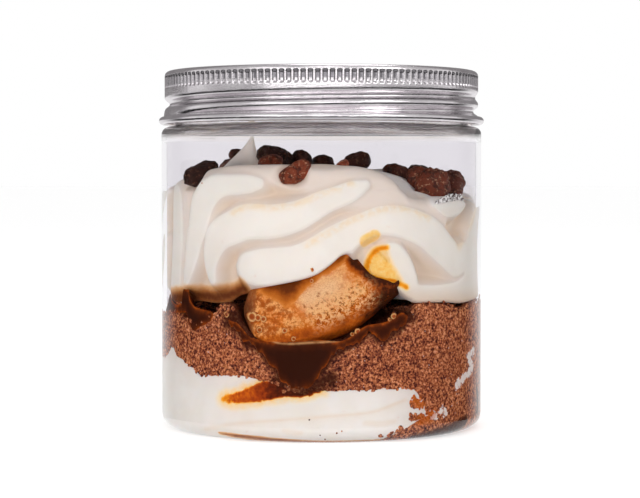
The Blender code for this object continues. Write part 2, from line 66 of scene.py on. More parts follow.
def paint(red, green, blue):
    """A linear colour from display values of 0 to 255, by the sRGB curve."""
    shares = np.array([red, green, blue]) / 255
    linear = np.where(shares > 0.04045, ((shares + 0.055) / 1.055) ** 2.4, shares / 12.92)
    return (*linear.tolist(), 1.0)


class Signal:
    """A socket inside a material that can be added, multiplied and so on like a number, a Math node for each
    step."""

    def __init__(self, finish, socket):
        self.finish, self.socket = finish, socket

    def math(self, operation, *values):
        return self.finish.node("ShaderNodeMath", {"operation": operation}, dict(enumerate(values)))

    def __add__(self, other):
        return self.math("ADD", self, other)

    def __sub__(self, other):
        return self.math("SUBTRACT", self, other)

    def __rsub__(self, other):
        return self.math("SUBTRACT", other, self)

    def __mul__(self, other):
        return self.math("MULTIPLY", self, other)

    def __pow__(self, other):
        return self.math("POWER", self, other)

    __radd__, __rmul__ = __add__, __mul__

    def eased(self, low, high):
        """0 below low, 1 above high and an S curve between; with low over high it falls instead."""
        if low > high:
            return 1 - self.eased(high, low)
        return self.finish.node("ShaderNodeMapRange", {"interpolation_type": "SMOOTHSTEP"},
                                {"Value": self, "From Min": low, "From Max": high})


class Finish:
    """A material in the making. Patterns read the piece's own coordinates, in metres, or its named marks."""

    def __init__(self, name):
        self.material = bpy.data.materials.new(name)
        self.material.use_nodes = True
        self.tree = self.material.node_tree
        self.shader = self.tree.nodes["Principled BSDF"]
        self.place = self.node("ShaderNodeTexCoord", {}, {}, "Object")

    def node(self, kind, settings, inputs, output=0):
        """A node of that kind with its settings made first, then values or links put into its sockets."""
        made = self.tree.nodes.new(kind)
        for key, value in settings.items():
            setattr(made, key, value)
        for key, value in inputs.items():
            if isinstance(value, Signal):
                self.tree.links.new(value.socket, made.inputs[key])
            else:
                made.inputs[key].default_value = value
        return Signal(self, made.outputs[output])

    def mark(self, name):
        """A number that the mesh carries at each point."""
        return self.node("ShaderNodeAttribute", {"attribute_name": name}, {}, "Fac")

    def stretched(self, x, y, z):
        return self.node("ShaderNodeVectorMath", {"operation": "MULTIPLY"}, {0: self.place, 1: (x, y, z)})

    def noise(self, size, detail=3.0, roughness=0.55, at=None, distortion=0.0):
        """Cloudy noise about 0.5, its blobs this many metres apart."""
        return self.node("ShaderNodeTexNoise", {"normalize": True},
                         {"Vector": at or self.place, "Scale": 1 / size, "Detail": detail,
                          "Roughness": roughness, "Distortion": distortion})

    def mix(self, share, first, second):
        """First where share is 0, second where it is 1."""
        return self.node("ShaderNodeMix", {"data_type": "RGBA"}, {0: share, 6: first, 7: second}, 2)

    def ramp(self, value, stops):
        """A colour from (place, colour) stops."""
        made = self.tree.nodes.new("ShaderNodeValToRGB")
        while len(made.color_ramp.elements) < len(stops):
            made.color_ramp.elements.new(0.5)
        for element, (place, colour) in zip(made.color_ramp.elements, stops):
            element.position, element.color = place, colour
        self.tree.links.new(value.socket, made.inputs[0])
        return Signal(self, made.outputs[0])

    def bump(self, height, depth, under=None):
        """Normals for relief that is this many metres deep from 0 to 1, laid over another relief's
        normals."""
        inputs = {"Height": height, "Distance": depth, "Strength": 1.0}
        if under is not None:
            inputs["Normal"] = under
        return self.node("ShaderNodeBump", {}, inputs)

    def surface(self, **inputs):
        """Sets the shader's sockets by name, with _ for a space. Returns the material."""
        for key, value in inputs.items():
            socket = self.shader.inputs[key.replace("_", " ")]
            if isinstance(value, Signal):
                self.tree.links.new(value.socket, socket)
            else:
                socket.default_value = value
        return self.material


def piece(name, points, faces, finish, marks=None):
    """An object through points and faces, shaded smooth, with a named number at each point for each mark."""
    mesh = bpy.data.meshes.new(name)
    mesh.from_pydata(points.tolist(), [], faces)
    mesh.shade_smooth()
    for key, values in (marks or {}).items():
        mesh.attributes.new(key, "FLOAT", "POINT").data.foreach_set("value", np.ravel(values).astype(np.float32))
    mesh.materials.append(finish)
    made = bpy.data.objects.new(name, mesh)
    scene.collection.objects.link(made)
    return made


floor_finish = Finish("studio_floor")
reach = floor_finish.node("ShaderNodeVectorMath", {"operation": "LENGTH"}, {0: floor_finish.place}, "Value")
floor_glow = floor_finish.mix(reach.eased(0.0, FLOOR_GLOW_REACH), (FLOOR_GLOW, FLOOR_GLOW, FLOOR_GLOW, 1),
                              (FAR_FLOOR_GLOW, FAR_FLOOR_GLOW, FAR_FLOOR_GLOW, 1))
floor_corners = np.array(((-1, -1, 0), (1, -1, 0), (1, 1, 0), (-1, 1, 0))) * FLOOR_SIZE
floor = piece("studio_floor", floor_corners, [(0, 1, 2, 3)], floor_finish.surface(
    Base_Color=paint(238, 238, 238), Roughness=0.9, Specular_IOR_Level=0.1, Emission_Color=floor_glow,
    Emission_Strength=1.0))
floor.visible_glossy = False


def curved_card(name, radius, low, high, start, end, finish):
    """An upright card bent round the jar from one angle to another, seen by reflections alone."""
    turn = np.radians(np.linspace(start, end, CARD_STEPS + 1))
    foot = np.stack([radius * np.sin(turn), -radius * np.cos(turn), 0 * turn + low], axis=1)
    faces = [(i, i + 1, i + CARD_STEPS + 2, i + CARD_STEPS + 1) for i in range(CARD_STEPS)]
    card = piece(name, np.concatenate([foot, foot + (0, 0, high - low)]), faces, finish)
    card.visible_camera = card.visible_diffuse = card.visible_shadow = card.visible_transmission = False
    return card


cloth = Finish("black_cloth")
backwards = cloth.node("ShaderNodeSeparateXYZ", {}, {0: cloth.place}, "Y") * (1 / FLAG_RADIUS)
cloth_glow = cloth.mix(backwards.eased(*FLAG_FADE), (0, 0, 0, 1), (0.9, 0.9, 0.9, 1))
black_cloth = cloth.surface(Base_Color=(0.004, 0.004, 0.004, 1), Roughness=1.0, Specular_IOR_Level=0.0,
                            Emission_Color=cloth_glow, Emission_Strength=1.0)
grey_card = Finish("grey_card").surface(Base_Color=(0.0, 0.0, 0.0, 1), Specular_IOR_Level=0.0,
                                        Emission_Color=(1, 0.97, 0.98, 1), Emission_Strength=0.24)
flag = curved_card("black_flag", FLAG_RADIUS, FLAG_FOOT, FLAG_HEIGHT, -FLAG_REACH, FLAG_REACH, black_cloth)
side_cards = [
    curved_card(f"grey_card_{side}", FLAG_RADIUS, CARD_FOOT, CARD_TOP, start, start + CARD_SPAN, grey_card)
    for side, start in (("left", -168), ("right", 106))]

world = bpy.data.worlds.new("studio")
scene.world = world
world.use_nodes = True
sky = world.node_tree.nodes
heading = sky.new("ShaderNodeTexCoord")
direction = sky.new("ShaderNodeSeparateXYZ")
world.node_tree.links.new(heading.outputs["Generated"], direction.inputs[0])
from_front, to_ceiling = sky.new("ShaderNodeMapRange"), sky.new("ShaderNodeMapRange")
for made, axis, low, high, dark, bright in ((from_front, "Y", -0.2, 0.45, FRONT_LIGHT, BACK_LIGHT),
                                            (to_ceiling, "Z", 0.25, 0.6, None, CEILING_LIGHT)):
    made.interpolation_type = "SMOOTHSTEP"
    made.inputs["From Min"].default_value, made.inputs["From Max"].default_value = low, high
    made.inputs["To Max"].default_value = bright
    if dark is None:
        world.node_tree.links.new(from_front.outputs[0], made.inputs["To Min"])
    else:
        made.inputs["To Min"].default_value = dark
    world.node_tree.links.new(direction.outputs[axis], made.inputs["Value"])
world.node_tree.links.new(to_ceiling.outputs[0], sky["Background"].inputs["Strength"])
sky["Background"].inputs["Color"].default_value = (1, 1, 1, 1)


def lamp(name, place, aim, size, power, mirrored=True):
    """A soft lamp of a width and height at a place, turned to face its aim, and seen by reflections where
    mirrored."""
    light = bpy.data.lights.new(name, "AREA")
    light.shape = "RECTANGLE"
    (light.size, light.size_y), light.energy = size, power
    made = bpy.data.objects.new(name, light)
    made.location = place
    made.rotation_euler = (Vector(aim) - Vector(place)).to_track_quat("-Z", "Y").to_euler()
    made.visible_transmission = False
    made.visible_glossy = mirrored
    scene.collection.objects.link(made)


lamp("lamp_left", (-0.75, -0.80, 0.75), (0, 0, 0.05), (0.55, 0.55), 0.95)
lamp("lamp_right", (0.80, -0.75, 0.65), (0, 0, 0.05), (0.50, 0.50), 2.7)
lamp("lamp_high", (0.05, -0.80, 1.05), (0, 0, 0.07), (0.45, 0.45), 0.8)
lamp("lamp_top", (0.10, 0.25, 1.05), (0, 0, 0.05), (0.50, 0.50), 2.0)
lamp("lamp_front", (-0.10, -1.10, 0.30), (0, 0, 0.07), (1.50, 0.26), 2.6)
lamp("lamp_low", (-0.42, -0.90, 0.055), (0, 0, 0.07), (0.20, 0.20), 3.9, mirrored=False)

camera = bpy.data.cameras.new("camera")
camera.sensor_width = 36
camera.lens = FOCAL_PIXELS / PICTURE_WIDTH * camera.sensor_width
camera.clip_start = 0.01
view = bpy.data.objects.new("camera", camera)
view.location = (EYE_LEFT, -EYE_DISTANCE, EYE_HEIGHT)
view.rotation_euler = (math.radians(90 - EYE_PITCH), 0, 0)
scene.collection.objects.link(view)
scene.camera = view

# Jar: blown from clear PET with a pushed-up base, straight wall, round shoulder and plain neck. The plastic
# carries a trace of violet grey. Its wall bends light at each face; the shoulder is thicker and drawn in
# streaks that let some light straight through.
JAR_COLUMNS = 256
JAR_RADIUS = 42.5 * MM
WALL = 1.4 * MM
INSIDE = JAR_RADIUS - WALL
FOOT_RADIUS, FOOT_CORNER = 38.5 * MM, 4.0 * MM
PUSH_UP_RADIUS, PUSH_UP = 32.0 * MM, 1.0 * MM
FLOOR, FLOOR_CORNER = 2.0 * MM, 3.0 * MM
SHOULDER, SHOULDER_CORNER = 79.4 * MM, 2.2 * MM
NECK_RADIUS, NECK_TOP, LIP_CORNER = 38.9 * MM, 92.6 * MM, 0.5 * MM
WALL_TOP = 75.5 * MM
STREAKS_FOOT, STREAKS_FADE, STREAKS_TOP, STREAKS_IN = 76.2 * MM, 1.4 * MM, 79.9 * MM, 38 * MM
PLASTIC_IOR = 1.5
HEAD_ON_GLOSS, EDGE_GLOSS = 0.035, 0.96
TRAPPED = 0.2546  # 1 less the cosine of the 41.8 degrees past which light inside the plastic is all mirrored


def ease(value):
    """0 below 0, 1 above 1 and an S curve between."""
    value = np.clip(value, 0.0, 1.0)
    return value * value * (3 - 2 * value)


def arc(centre, radius, start, end, steps):
    """Points (radius, height) of a round corner, its angles in degrees from straight out."""
    turns = np.radians(np.linspace(start, end, steps + 1))
    return [(centre[0] + radius * math.cos(t), centre[1] + radius * math.sin(t)) for t in turns]


def ring(radius, height, degrees):
    """A row of points round the axis at each angle from the front, at radii and heights that may vary along
    it."""
    turn = np.radians(degrees)
    return np.stack([radius * np.sin(turn), -radius * np.cos(turn), height + 0 * turn], axis=-1)


def all_round(columns):
    return np.arange(columns) * 360.0 / columns - 180.0


def skin(rows):
    """Points and outward faces through rows that each run once round the axis. Point j meets point j + 1 and
    point j of the next row. A row of one point is a pole; a row of a multiple of the last row's points fans
    out from it."""
    starts = np.cumsum([0] + [len(row) for row in rows])
    faces = []
    for row in range(len(rows) - 1):
        here, there = len(rows[row]), len(rows[row + 1])
        count = max(here, there)
        j = np.arange(count)
        low, low_next = starts[row] + j * here // count, starts[row] + (j + 1) % count * here // count
        above = starts[row + 1]
        high, high_next = above + j * there // count, above + (j + 1) % count * there // count
        if here == there:
            faces += np.stack([low, low_next, high_next, high], axis=1).tolist()
            continue
        for first, second, third in ((low, low_next, high_next), (low, high_next, high)):
            real = (first != second) & (second != third) & (first != third)
            faces += np.stack([first, second, third], axis=1)[real].tolist()
    return np.concatenate(rows), faces


def pole(height):
    return np.array([(0.0, 0.0, height)])


shoulder_in = SHOULDER_CORNER - 0.6 * WALL
jar_profile = [(PUSH_UP_RADIUS * share, PUSH_UP) for share in (0.3, 0.6, 0.85, 1.0)]
jar_profile += [(PUSH_UP_RADIUS + 0.8 * MM, 0.75 * MM), (PUSH_UP_RADIUS + 1.6 * MM, 0.25 * MM),
                (PUSH_UP_RADIUS + 2.4 * MM, 0), (FOOT_RADIUS - 2 * MM, 0)]
jar_profile += arc((FOOT_RADIUS, FOOT_CORNER), FOOT_CORNER, -90, 0, 12)
jar_profile += [(JAR_RADIUS, height * MM) for height in (4.5, 5.5, 25, 50, 75, 76)]
jar_profile += arc((JAR_RADIUS - SHOULDER_CORNER, SHOULDER - SHOULDER_CORNER), SHOULDER_CORNER, 0, 90, 12)
jar_profile += [(NECK_RADIUS + 0.5 * MM, SHOULDER + 0.05 * MM), (NECK_RADIUS, SHOULDER + 0.4 * MM)]
jar_profile += arc((NECK_RADIUS - LIP_CORNER, NECK_TOP - LIP_CORNER), LIP_CORNER, 0, 90, 4)
jar_profile += [(NECK_RADIUS - WALL, NECK_TOP), (NECK_RADIUS - WALL, SHOULDER - WALL + 0.5 * MM),
                (NECK_RADIUS - WALL + 0.3 * MM, SHOULDER - WALL + 0.1 * MM)]
jar_profile += arc((INSIDE - shoulder_in, SHOULDER - WALL - shoulder_in), shoulder_in, 90, 0, 10)
jar_profile += [(INSIDE, height * MM) for height in (76, 75, 50, 25, 6)]
jar_profile += arc((INSIDE - FLOOR_CORNER, FLOOR + FLOOR_CORNER), FLOOR_CORNER, 0, -90, 10)
jar_profile += [(FOOT_RADIUS * share, FLOOR) for share in (0.85, 0.6, 0.3)]
jar_rows = [ring(r, z, all_round(JAR_COLUMNS)) for r, z in jar_profile]
jar_points, jar_faces = skin([pole(PUSH_UP), *jar_rows, pole(FLOOR)])

plastic = Finish("clear_plastic")
sheen = plastic.noise(3.0 * MM, 3.0, at=plastic.stretched(0.12, 0.12, 4.0)).eased(0.36, 0.62)
# Painted shade: the shoulder's warm grey streaks stand in for the lid's inside seen through the plastic, and the
# ends mark darkens both ends of the shoulder.
clear = plastic.mix(plastic.mark("shoulder") * (sheen * 0.7 + 0.1), (0.928, 0.914, 0.934, 1),
                    paint(236, 224, 212))
clear = plastic.mix(plastic.mark("ends"), clear, paint(92, 86, 88))
plastic.surface(Base_Color=clear, Roughness=0.0, IOR=PLASTIC_IOR, Specular_IOR_Level=0.12,
                Transmission_Weight=1.0)
thick = Signal(plastic, plastic.shader.outputs[0])
# The wall: bent light, with a little of the room mirrored from outside, and from inside all of it past one
# angle.
facing = plastic.node("ShaderNodeLayerWeight", {}, {"Blend": 0.5}, "Facing")
from_inside = plastic.node("ShaderNodeNewGeometry", {}, {}, "Backfacing")
trapped = plastic.node("ShaderNodeMath", {"operation": "GREATER_THAN"}, {0: facing, 1: TRAPPED})
gloss = from_inside * trapped + (1 - from_inside) * (facing ** 5 * EDGE_GLOSS + HEAD_ON_GLOSS)
mirror = plastic.node("ShaderNodeBsdfGlossy", {}, {"Roughness": 0.0, "Color": (1, 1, 1, 1)})
bent = plastic.node("ShaderNodeBsdfRefraction", {},
                    {"Color": (0.945, 0.936, 0.950, 1), "Roughness": 0.0, "IOR": PLASTIC_IOR})
wall = plastic.node("ShaderNodeMixShader", {}, {0: gloss, 1: bent, 2: mirror})
body = plastic.node("ShaderNodeMixShader", {}, {0: plastic.mark("wall"), 1: thick, 2: wall})
straight = plastic.node("ShaderNodeBsdfTransparent", {}, {"Color": (0.97, 0.96, 0.97, 1)})
straight_share = plastic.mark("shoulder") * (1 - plastic.mark("ends")) * sheen * 0.42
streaked = plastic.node("ShaderNodeMixShader", {}, {0: straight_share, 1: body, 2: straight})
lamp_ray = plastic.node("ShaderNodeLightPath", {}, {}, "Is Shadow Ray")
let_through = plastic.node("ShaderNodeBsdfTransparent", {}, {"Color": (0.93, 0.92, 0.94, 1)})
shell = plastic.node("ShaderNodeMixShader", {}, {0: lamp_ray, 1: streaked, 2: let_through})
plastic.tree.links.new(shell.socket, plastic.tree.nodes["Material Output"].inputs["Surface"])
jar_height = jar_points[:, 2]
at_shoulder = ease((jar_height - STREAKS_FOOT) / STREAKS_FADE) * (jar_height < STREAKS_TOP) \
    * (np.hypot(jar_points[:, 0], jar_points[:, 1]) > STREAKS_IN)
sideward = np.abs(np.degrees(np.arctan2(jar_points[:, 0], -jar_points[:, 1])))
# Painted shade: the shoulder darkened towards both of its ends.
painted_shade_at_ends = at_shoulder * ease((sideward - 46) / 22) * ease((104 - sideward) / 20) * 0.8
jar = piece("clear_jar", jar_points, jar_faces, plastic.material,
            {"wall": jar_height < WALL_TOP, "shoulder": at_shoulder, "ends": painted_shade_at_ends})
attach(jar, "root")
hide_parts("jar")

# Lid: thin aluminium, drawn and rolled. The grip round its top is pressed with rounded flutes, the skirt is
# rolled into a thread, the hem is curled outwards and a white liner backs it.
LID_TOP = 94.0 * MM
LID_RADIUS = 41.6 * MM
LID_CORNER = 1.3 * MM
PANEL_RADIUS, PANEL_DROP = 37.6 * MM, 0.4 * MM
LINER_RADIUS = 39.5 * MM
CURL_CENTRE, CURL_RADIUS = (42.05 * MM, 80.95 * MM), 1.05 * MM
HEM_FLARE = 0.34 * MM
SKIRT_COLUMNS = 288
FLUTES, FLUTE_STEPS = 144, 12
FLUTE_DEPTH, FLUTE_HALF_WIDTH, FLUTE_EDGE = 0.50 * MM, 0.22, 0.14  # width and edge as shares of a flute's pitch
FLUTE_LOW, FLUTE_HIGH = 89.25 * MM, 92.75 * MM
THREAD_TOP, THREAD_PITCH, THREAD_START, THREAD_TURN = 87.3 * MM, 3.75 * MM, 110.0, 545.0
THREAD_DEPTH, THREAD_HALF_WIDTH = 1.35 * MM, 0.95 * MM


def thread_depth(height, degrees):
    """How far the rolled thread draws the skirt in: a round groove along a helix that fades at both ends."""
    depth = 0
    for turn in range(2):
        run = (THREAD_START - degrees) % 360 + 360 * turn
        centre = THREAD_TOP - THREAD_PITCH * run / 360
        fade = ease(run / 40) * ease((THREAD_TURN - run) / 50)
        depth = depth + THREAD_DEPTH * fade * np.exp(-np.abs((height - centre) / THREAD_HALF_WIDTH) ** 2.4)
    return depth


def flute_depth(height, degrees):
    """How far the grip is pressed in: an upright slot with a round top in each pitch, and a sloping lower
    end."""
    across = np.abs((degrees * FLUTES / 360) % 1.0 - 0.5)
    pitch = 2 * math.pi * LID_RADIUS / FLUTES
    over = np.maximum(0, height - (FLUTE_HIGH - FLUTE_HALF_WIDTH * pitch)) / pitch
    under = np.maximum(0, FLUTE_LOW + FLUTE_HALF_WIDTH * pitch - height) / pitch
    reach = np.hypot(across, np.maximum(over, under))
    wall = ease((FLUTE_HALF_WIDTH + FLUTE_EDGE - reach) / FLUTE_EDGE)
    foot = ease((height - FLUTE_LOW + 0.15 * MM) / (0.9 * MM))
    head = ease((FLUTE_HIGH + 0.1 * MM - height) / (0.8 * MM))
    return FLUTE_DEPTH * wall * (foot * head)


around = all_round(SKIRT_COLUMNS)
fine = all_round(FLUTES * FLUTE_STEPS)
under_panel = LID_TOP - PANEL_DROP - 0.6 * MM
lid_rows = [pole(under_panel), ring(LINER_RADIUS * 0.5, under_panel, around),
            ring(LINER_RADIUS, under_panel, around), ring(LINER_RADIUS, CURL_CENTRE[1] + 1.2 * MM, around)]
lid_rows += [ring(r, z, around) for r, z in arc(CURL_CENTRE, CURL_RADIUS, -165, 85, 16)]
for height in np.linspace(82.05 * MM, 88.7 * MM, 36):
    out = HEM_FLARE * ease((84.2 * MM - height) / (3 * MM))
    lid_rows.append(ring(LID_RADIUS + out - thread_depth(height, around), height, around))
for height in np.linspace(88.9 * MM, 92.98 * MM, 24):
    tuck = LID_CORNER - np.sqrt(LID_CORNER**2 - np.maximum(0, height - (LID_TOP - LID_CORNER)) ** 2)
    lid_rows.append(ring(LID_RADIUS - tuck - flute_depth(height, fine), height, fine))
top_corner = arc((LID_RADIUS - LID_CORNER, LID_TOP - LID_CORNER), LID_CORNER, 14, 90, 8)
lid_rows += [ring(r, z, around) for r, z in top_corner]
lid_rows += [ring(LID_RADIUS - 2.4 * MM, LID_TOP, around), ring(PANEL_RADIUS, LID_TOP - 0.02 * MM, around),
             ring(PANEL_RADIUS - 0.4 * MM, LID_TOP - 0.5 * PANEL_DROP, around),
             ring(PANEL_RADIUS - 0.8 * MM, LID_TOP - PANEL_DROP, around),
             ring(PANEL_RADIUS * 0.6, LID_TOP - PANEL_DROP, around), pole(LID_TOP - PANEL_DROP)]
lid_points, lid_faces = skin(lid_rows)
lid_angle = np.degrees(np.arctan2(lid_points[:, 0], -lid_points[:, 1]))
out_of_slot = np.abs((lid_angle * FLUTES / 360) % 1.0 - 0.5)
lid_height, lid_reach = lid_points[:, 2], np.hypot(*lid_points[:, :2].T)
on_grip = (lid_height > 89.9 * MM) & (lid_height < 92.7 * MM) & (lid_reach > 40 * MM)
arch = np.maximum(0, lid_height - (FLUTE_HIGH - 0.4 * MM)) / (1.8 * MM)
# Masks for painted shade in the flutes: strongest on their walls, lighter on their floors.
flute_wall_painted_shade = np.exp(-((np.hypot(out_of_slot, arch) - 0.28) / 0.06) ** 2) * on_grip
flute_floor_painted_shade = ease((0.27 - out_of_slot) / 0.14) * on_grip * ease((lid_height - 90.4 * MM) / (0.4 * MM))
on_panel = (lid_height > LID_TOP - PANEL_DROP - 0.1 * MM) & (lid_reach < PANEL_RADIUS)

aluminium = Finish("rolled_aluminium")
rolled = aluminium.noise(0.5 * MM, 2.0, at=aluminium.stretched(0.25, 0.25, 2.5))
scuff = aluminium.noise(6 * MM, 4.0)
bare = aluminium.mix(scuff.eased(0.35, 0.7), paint(226, 220, 224), paint(240, 235, 238))
# Painted shade: the flutes' walls and floors are darkened, standing in for shade and dark reflections in the
# grooves.
pressed = aluminium.mix(aluminium.mark("flute_wall_painted_shade") * 0.95, bare, paint(62, 60, 66))
pressed = aluminium.mix(aluminium.mark("flute_floor_painted_shade") * 0.80, pressed, paint(104, 102, 108))
pressed = aluminium.mix(aluminium.mark("panel") * 0.7, pressed, paint(206, 202, 207))
dullness = scuff * 0.05 + 0.215 + aluminium.mark("panel") * 0.25
lid = piece("screw_lid", lid_points, lid_faces, aluminium.surface(
    Base_Color=pressed, Metallic=1.0, Roughness=dullness, Normal=aluminium.bump(rolled, 0.02 * MM)),
    {"flute_wall_painted_shade": flute_wall_painted_shade, "flute_floor_painted_shade": flute_floor_painted_shade, "panel": on_panel})
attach(lid, "root")
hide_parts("lid")

# Base cream: whipped white cream spread on the jar's floor. It fills the wall's curve, and on the right it
# thins out between crumbs.
PRESS = 0.3 * MM  # food that wets the plastic reaches this far into the wall, so that no air shows between
FOOD_CORNER = 3.4 * MM
FOOD_FLOOR, FOOD_FLOOR_IN = 0.6 * MM, 1.5 * MM  # under the rim and above the pushed-up middle
BASE_TOP_EDGE = ((-180, 17), (-120, 19), (-80, 19.2), (-72, 20.2), (-66, 22.8), (-63, 20.8), (-58, 19.6),
                 (-51, 17.7), (-46, 16.2), (-38, 16.6), (-30, 16.9), (-25, 16.6), (-20, 15.8), (-8, 13.6),
                 (4, 13.5), (12, 13.7), (30, 13.6), (33.5, 13.2), (35.5, 11.8), (37, 10.4), (38.5, 9.3),
                 (41, 8.4), (44, 7.6), (50, 7.2), (110, 6.4), (135, 7.2), (165, 15))
BASE_LOW_EDGE = ((-180, 0.6), (18, 0.6), (24, 1.6), (30, 3.2), (36, 5.2), (41, 6.4), (44, 7.0), (50, 6.9),
                 (110, 5.2), (135, 4.2), (150, 0.6))
BASE_RETREAT = ((-180, 0), (43, 0), (48, 3), (56, 10), (85, 16), (112, 12), (136, 0))
BASE_MIDDLE = 14.5 * MM
BASE_ROUND = 0.7 * MM
BASE_UNDERSIDE = ((0.3, FOOD_FLOOR_IN), (0.6, FOOD_FLOOR_IN), (0.86, FOOD_FLOOR_IN), (0.91, 0.9 * MM),
                  (0.96, FOOD_FLOOR))  # shares of its reach, and heights


def monotone(knots, values, at):
    """A cubic through the knots that doesn't swing past them: each knot's slope is the harmonic mean of its
    sides'."""
    run = np.diff(knots)
    rise = np.diff(values) / run
    slope = np.zeros(len(knots))
    same = rise[:-1] * rise[1:] > 0
    slope[1:-1][same] = 2 * rise[:-1][same] * rise[1:][same] / (rise[:-1] + rise[1:])[same]
    i = np.clip(np.searchsorted(knots, at, side="right") - 1, 0, len(run) - 1)
    t = (at - knots[i]) / run[i]
    return (values[i] * (2 * t**3 - 3 * t**2 + 1) + slope[i] * run[i] * (t**3 - 2 * t**2 + t)
            + values[i + 1] * (3 * t**2 - 2 * t**3) + slope[i + 1] * run[i] * (t**3 - t**2))


def edge_height(edge, degrees):
    """Height at each angle of an edge given as (degrees, millimetres), rounded between its points, closed
    round."""
    knots, values = np.array(edge, float).T
    knots = np.concatenate([knots - 360, knots, knots + 360])
    return monotone(knots, np.tile(values * MM, 3), (np.asarray(degrees) + 180) % 360 - 180)


def draw(cells, seed):
    """A fixed number from 0 to 1 for each whole-numbered cell, by mixing its three indices with large odd
    factors."""
    mixed = (cells.astype(np.uint64) * np.array([374761393, 668265263, 2246822519], np.uint64)).sum(axis=-1)
    mixed = (mixed + np.uint64(seed * 3266489917)) & np.uint64(0xffffffff)
    for shift, factor in ((15, 2246822519), (13, 3266489917)):
        mixed = ((mixed ^ (mixed >> np.uint64(shift))) * np.uint64(factor)) & np.uint64(0xffffffff)
    return (mixed ^ (mixed >> np.uint64(16))).astype(float) / 2**32


def drift(points, size, seed=0):
    """Smooth noise from -1 to 1: draws at the corners of cubes of this size, blended with eased weights."""
    scaled = points / size + 4096.0
    base = np.floor(scaled)
    t = ease(scaled - base)
    total = 0
    for corner in np.ndindex(2, 2, 2):
        weight = np.where(corner, t, 1 - t).prod(axis=-1)
        total = total + weight * draw(base + corner, seed)
    return 2 * total - 1


def grains(points, size, seed=0):
    """The distance in cubes to the nearest of the seeds, one in each cube of this size, and a draw that
    belongs to the nearest."""
    scaled = points / size + 4096.0
    base = np.floor(scaled)
    nearest, owner = np.full(points.shape[:-1], 9.0), np.zeros(points.shape[:-1])
    for corner in np.ndindex(3, 3, 3):
        cell = base + corner - 1
        site = cell + np.stack([draw(cell, seed + k) for k in range(3)], axis=-1)
        reach = np.sqrt(((scaled - site) ** 2).sum(axis=-1))
        closer = reach < nearest
        owner = np.where(closer, draw(cell, seed + 7), owner)
        nearest = np.where(closer, reach, nearest)
    return nearest, owner


def wall_radius(height, reach=INSIDE + PRESS):
    """Radius of food at a height, following the round corner at the foot."""
    below = np.clip(FOOD_CORNER - (height - FOOD_FLOOR), 0, FOOD_CORNER)
    return reach - FOOD_CORNER + np.sqrt(FOOD_CORNER**2 - below**2)


def round_edge(size, degrees):
    """How far a quarter-round edge of that size lies in from the side and down from the top, degrees up from
    its side."""
    return size * (1 - math.cos(math.radians(degrees))), size * (1 - math.sin(math.radians(degrees)))


BASE_COLUMNS, BASE_ROWS = 540, 44
turn = all_round(BASE_COLUMNS)
top, low = edge_height(BASE_TOP_EDGE, turn), edge_height(BASE_LOW_EDGE, turn)
rim_noise = ring(INSIDE, 10 * MM, turn)
rough = 1 + 1.6 * ease((turn - 31) / 4) * ease((60 - turn) / 6)
top = top + rough * MM * (0.30 * drift(rim_noise, 2.2 * MM, 3) + 0.22 * drift(rim_noise, 0.9 * MM, 4))
retreat = edge_height(BASE_RETREAT, turn)
floor_reach = np.minimum(38 * MM, INSIDE - retreat - 3 * MM)
base_rows = [pole(FOOD_FLOOR_IN)] + [ring(floor_reach * share, height, turn) for share, height in BASE_UNDERSIDE]
for share in np.linspace(0, 1, BASE_ROWS):
    height = low + (top - BASE_ROUND - low) * share
    radius = np.minimum(wall_radius(height, INSIDE + PRESS + 0.10 * MM), INSIDE + PRESS - retreat)
    base_rows.append(ring(radius, height, turn))
for degrees in (35, 65, 90):
    inset, drop = round_edge(BASE_ROUND, degrees)
    base_rows.append(ring(INSIDE + PRESS - retreat - inset, top - drop, turn))
for share in (0.93, 0.84, 0.7, 0.5, 0.3, 0.12):
    radius = (INSIDE - retreat) * share
    base_rows.append(ring(radius, BASE_MIDDLE + (top - BASE_MIDDLE) * share**3, turn))
base_rows.append(pole(BASE_MIDDLE))
base_points, base_faces = skin(base_rows)


def angle_of(points):
    """Degrees round the jar from the front, positive to the right."""
    return np.degrees(np.arctan2(points[..., 0], -points[..., 1]))


def track(line, points):
    """Distance on the wall from each point to a line of (degrees, millimetres) or (degrees, millimetres, half
    width) points, less the half width there, rounded between its points by Catmull-Rom curves."""
    p = np.array(line, float)
    if p.shape[1] == 2:
        p = np.column_stack([p, np.zeros(len(p))])
    p = np.vstack([2 * p[0] - p[1], p, 2 * p[-1] - p[-2]])
    t = np.linspace(0, 1, 7)[:-1, None]
    spans = [0.5 * (2 * b + (c - a) * t + (2 * a - 5 * b + 4 * c - d) * t**2 + (3 * b - a - 3 * c + d) * t**3)
             for a, b, c, d in zip(p, p[1:], p[2:], p[3:])]
    route = np.vstack([*spans, p[-2]]) * (math.pi / 180 * JAR_RADIUS, MM, MM)
    across = np.radians(angle_of(points)) * JAR_RADIUS
    nearest = np.full(points.shape[:-1], 1.0)
    for (s0, z0, w0), (s1, z1, w1) in zip(route, route[1:]):
        length = max((s1 - s0) ** 2 + (z1 - z0) ** 2, 1e-12)
        along = np.clip(((across - s0) * (s1 - s0) + (points[..., 2] - z0) * (z1 - z0)) / length, 0, 1)
        gap = np.hypot(across - s0 - along * (s1 - s0), points[..., 2] - z0 - along * (z1 - z0))
        nearest = np.minimum(nearest, gap - w0 - along * (w1 - w0))
    return nearest


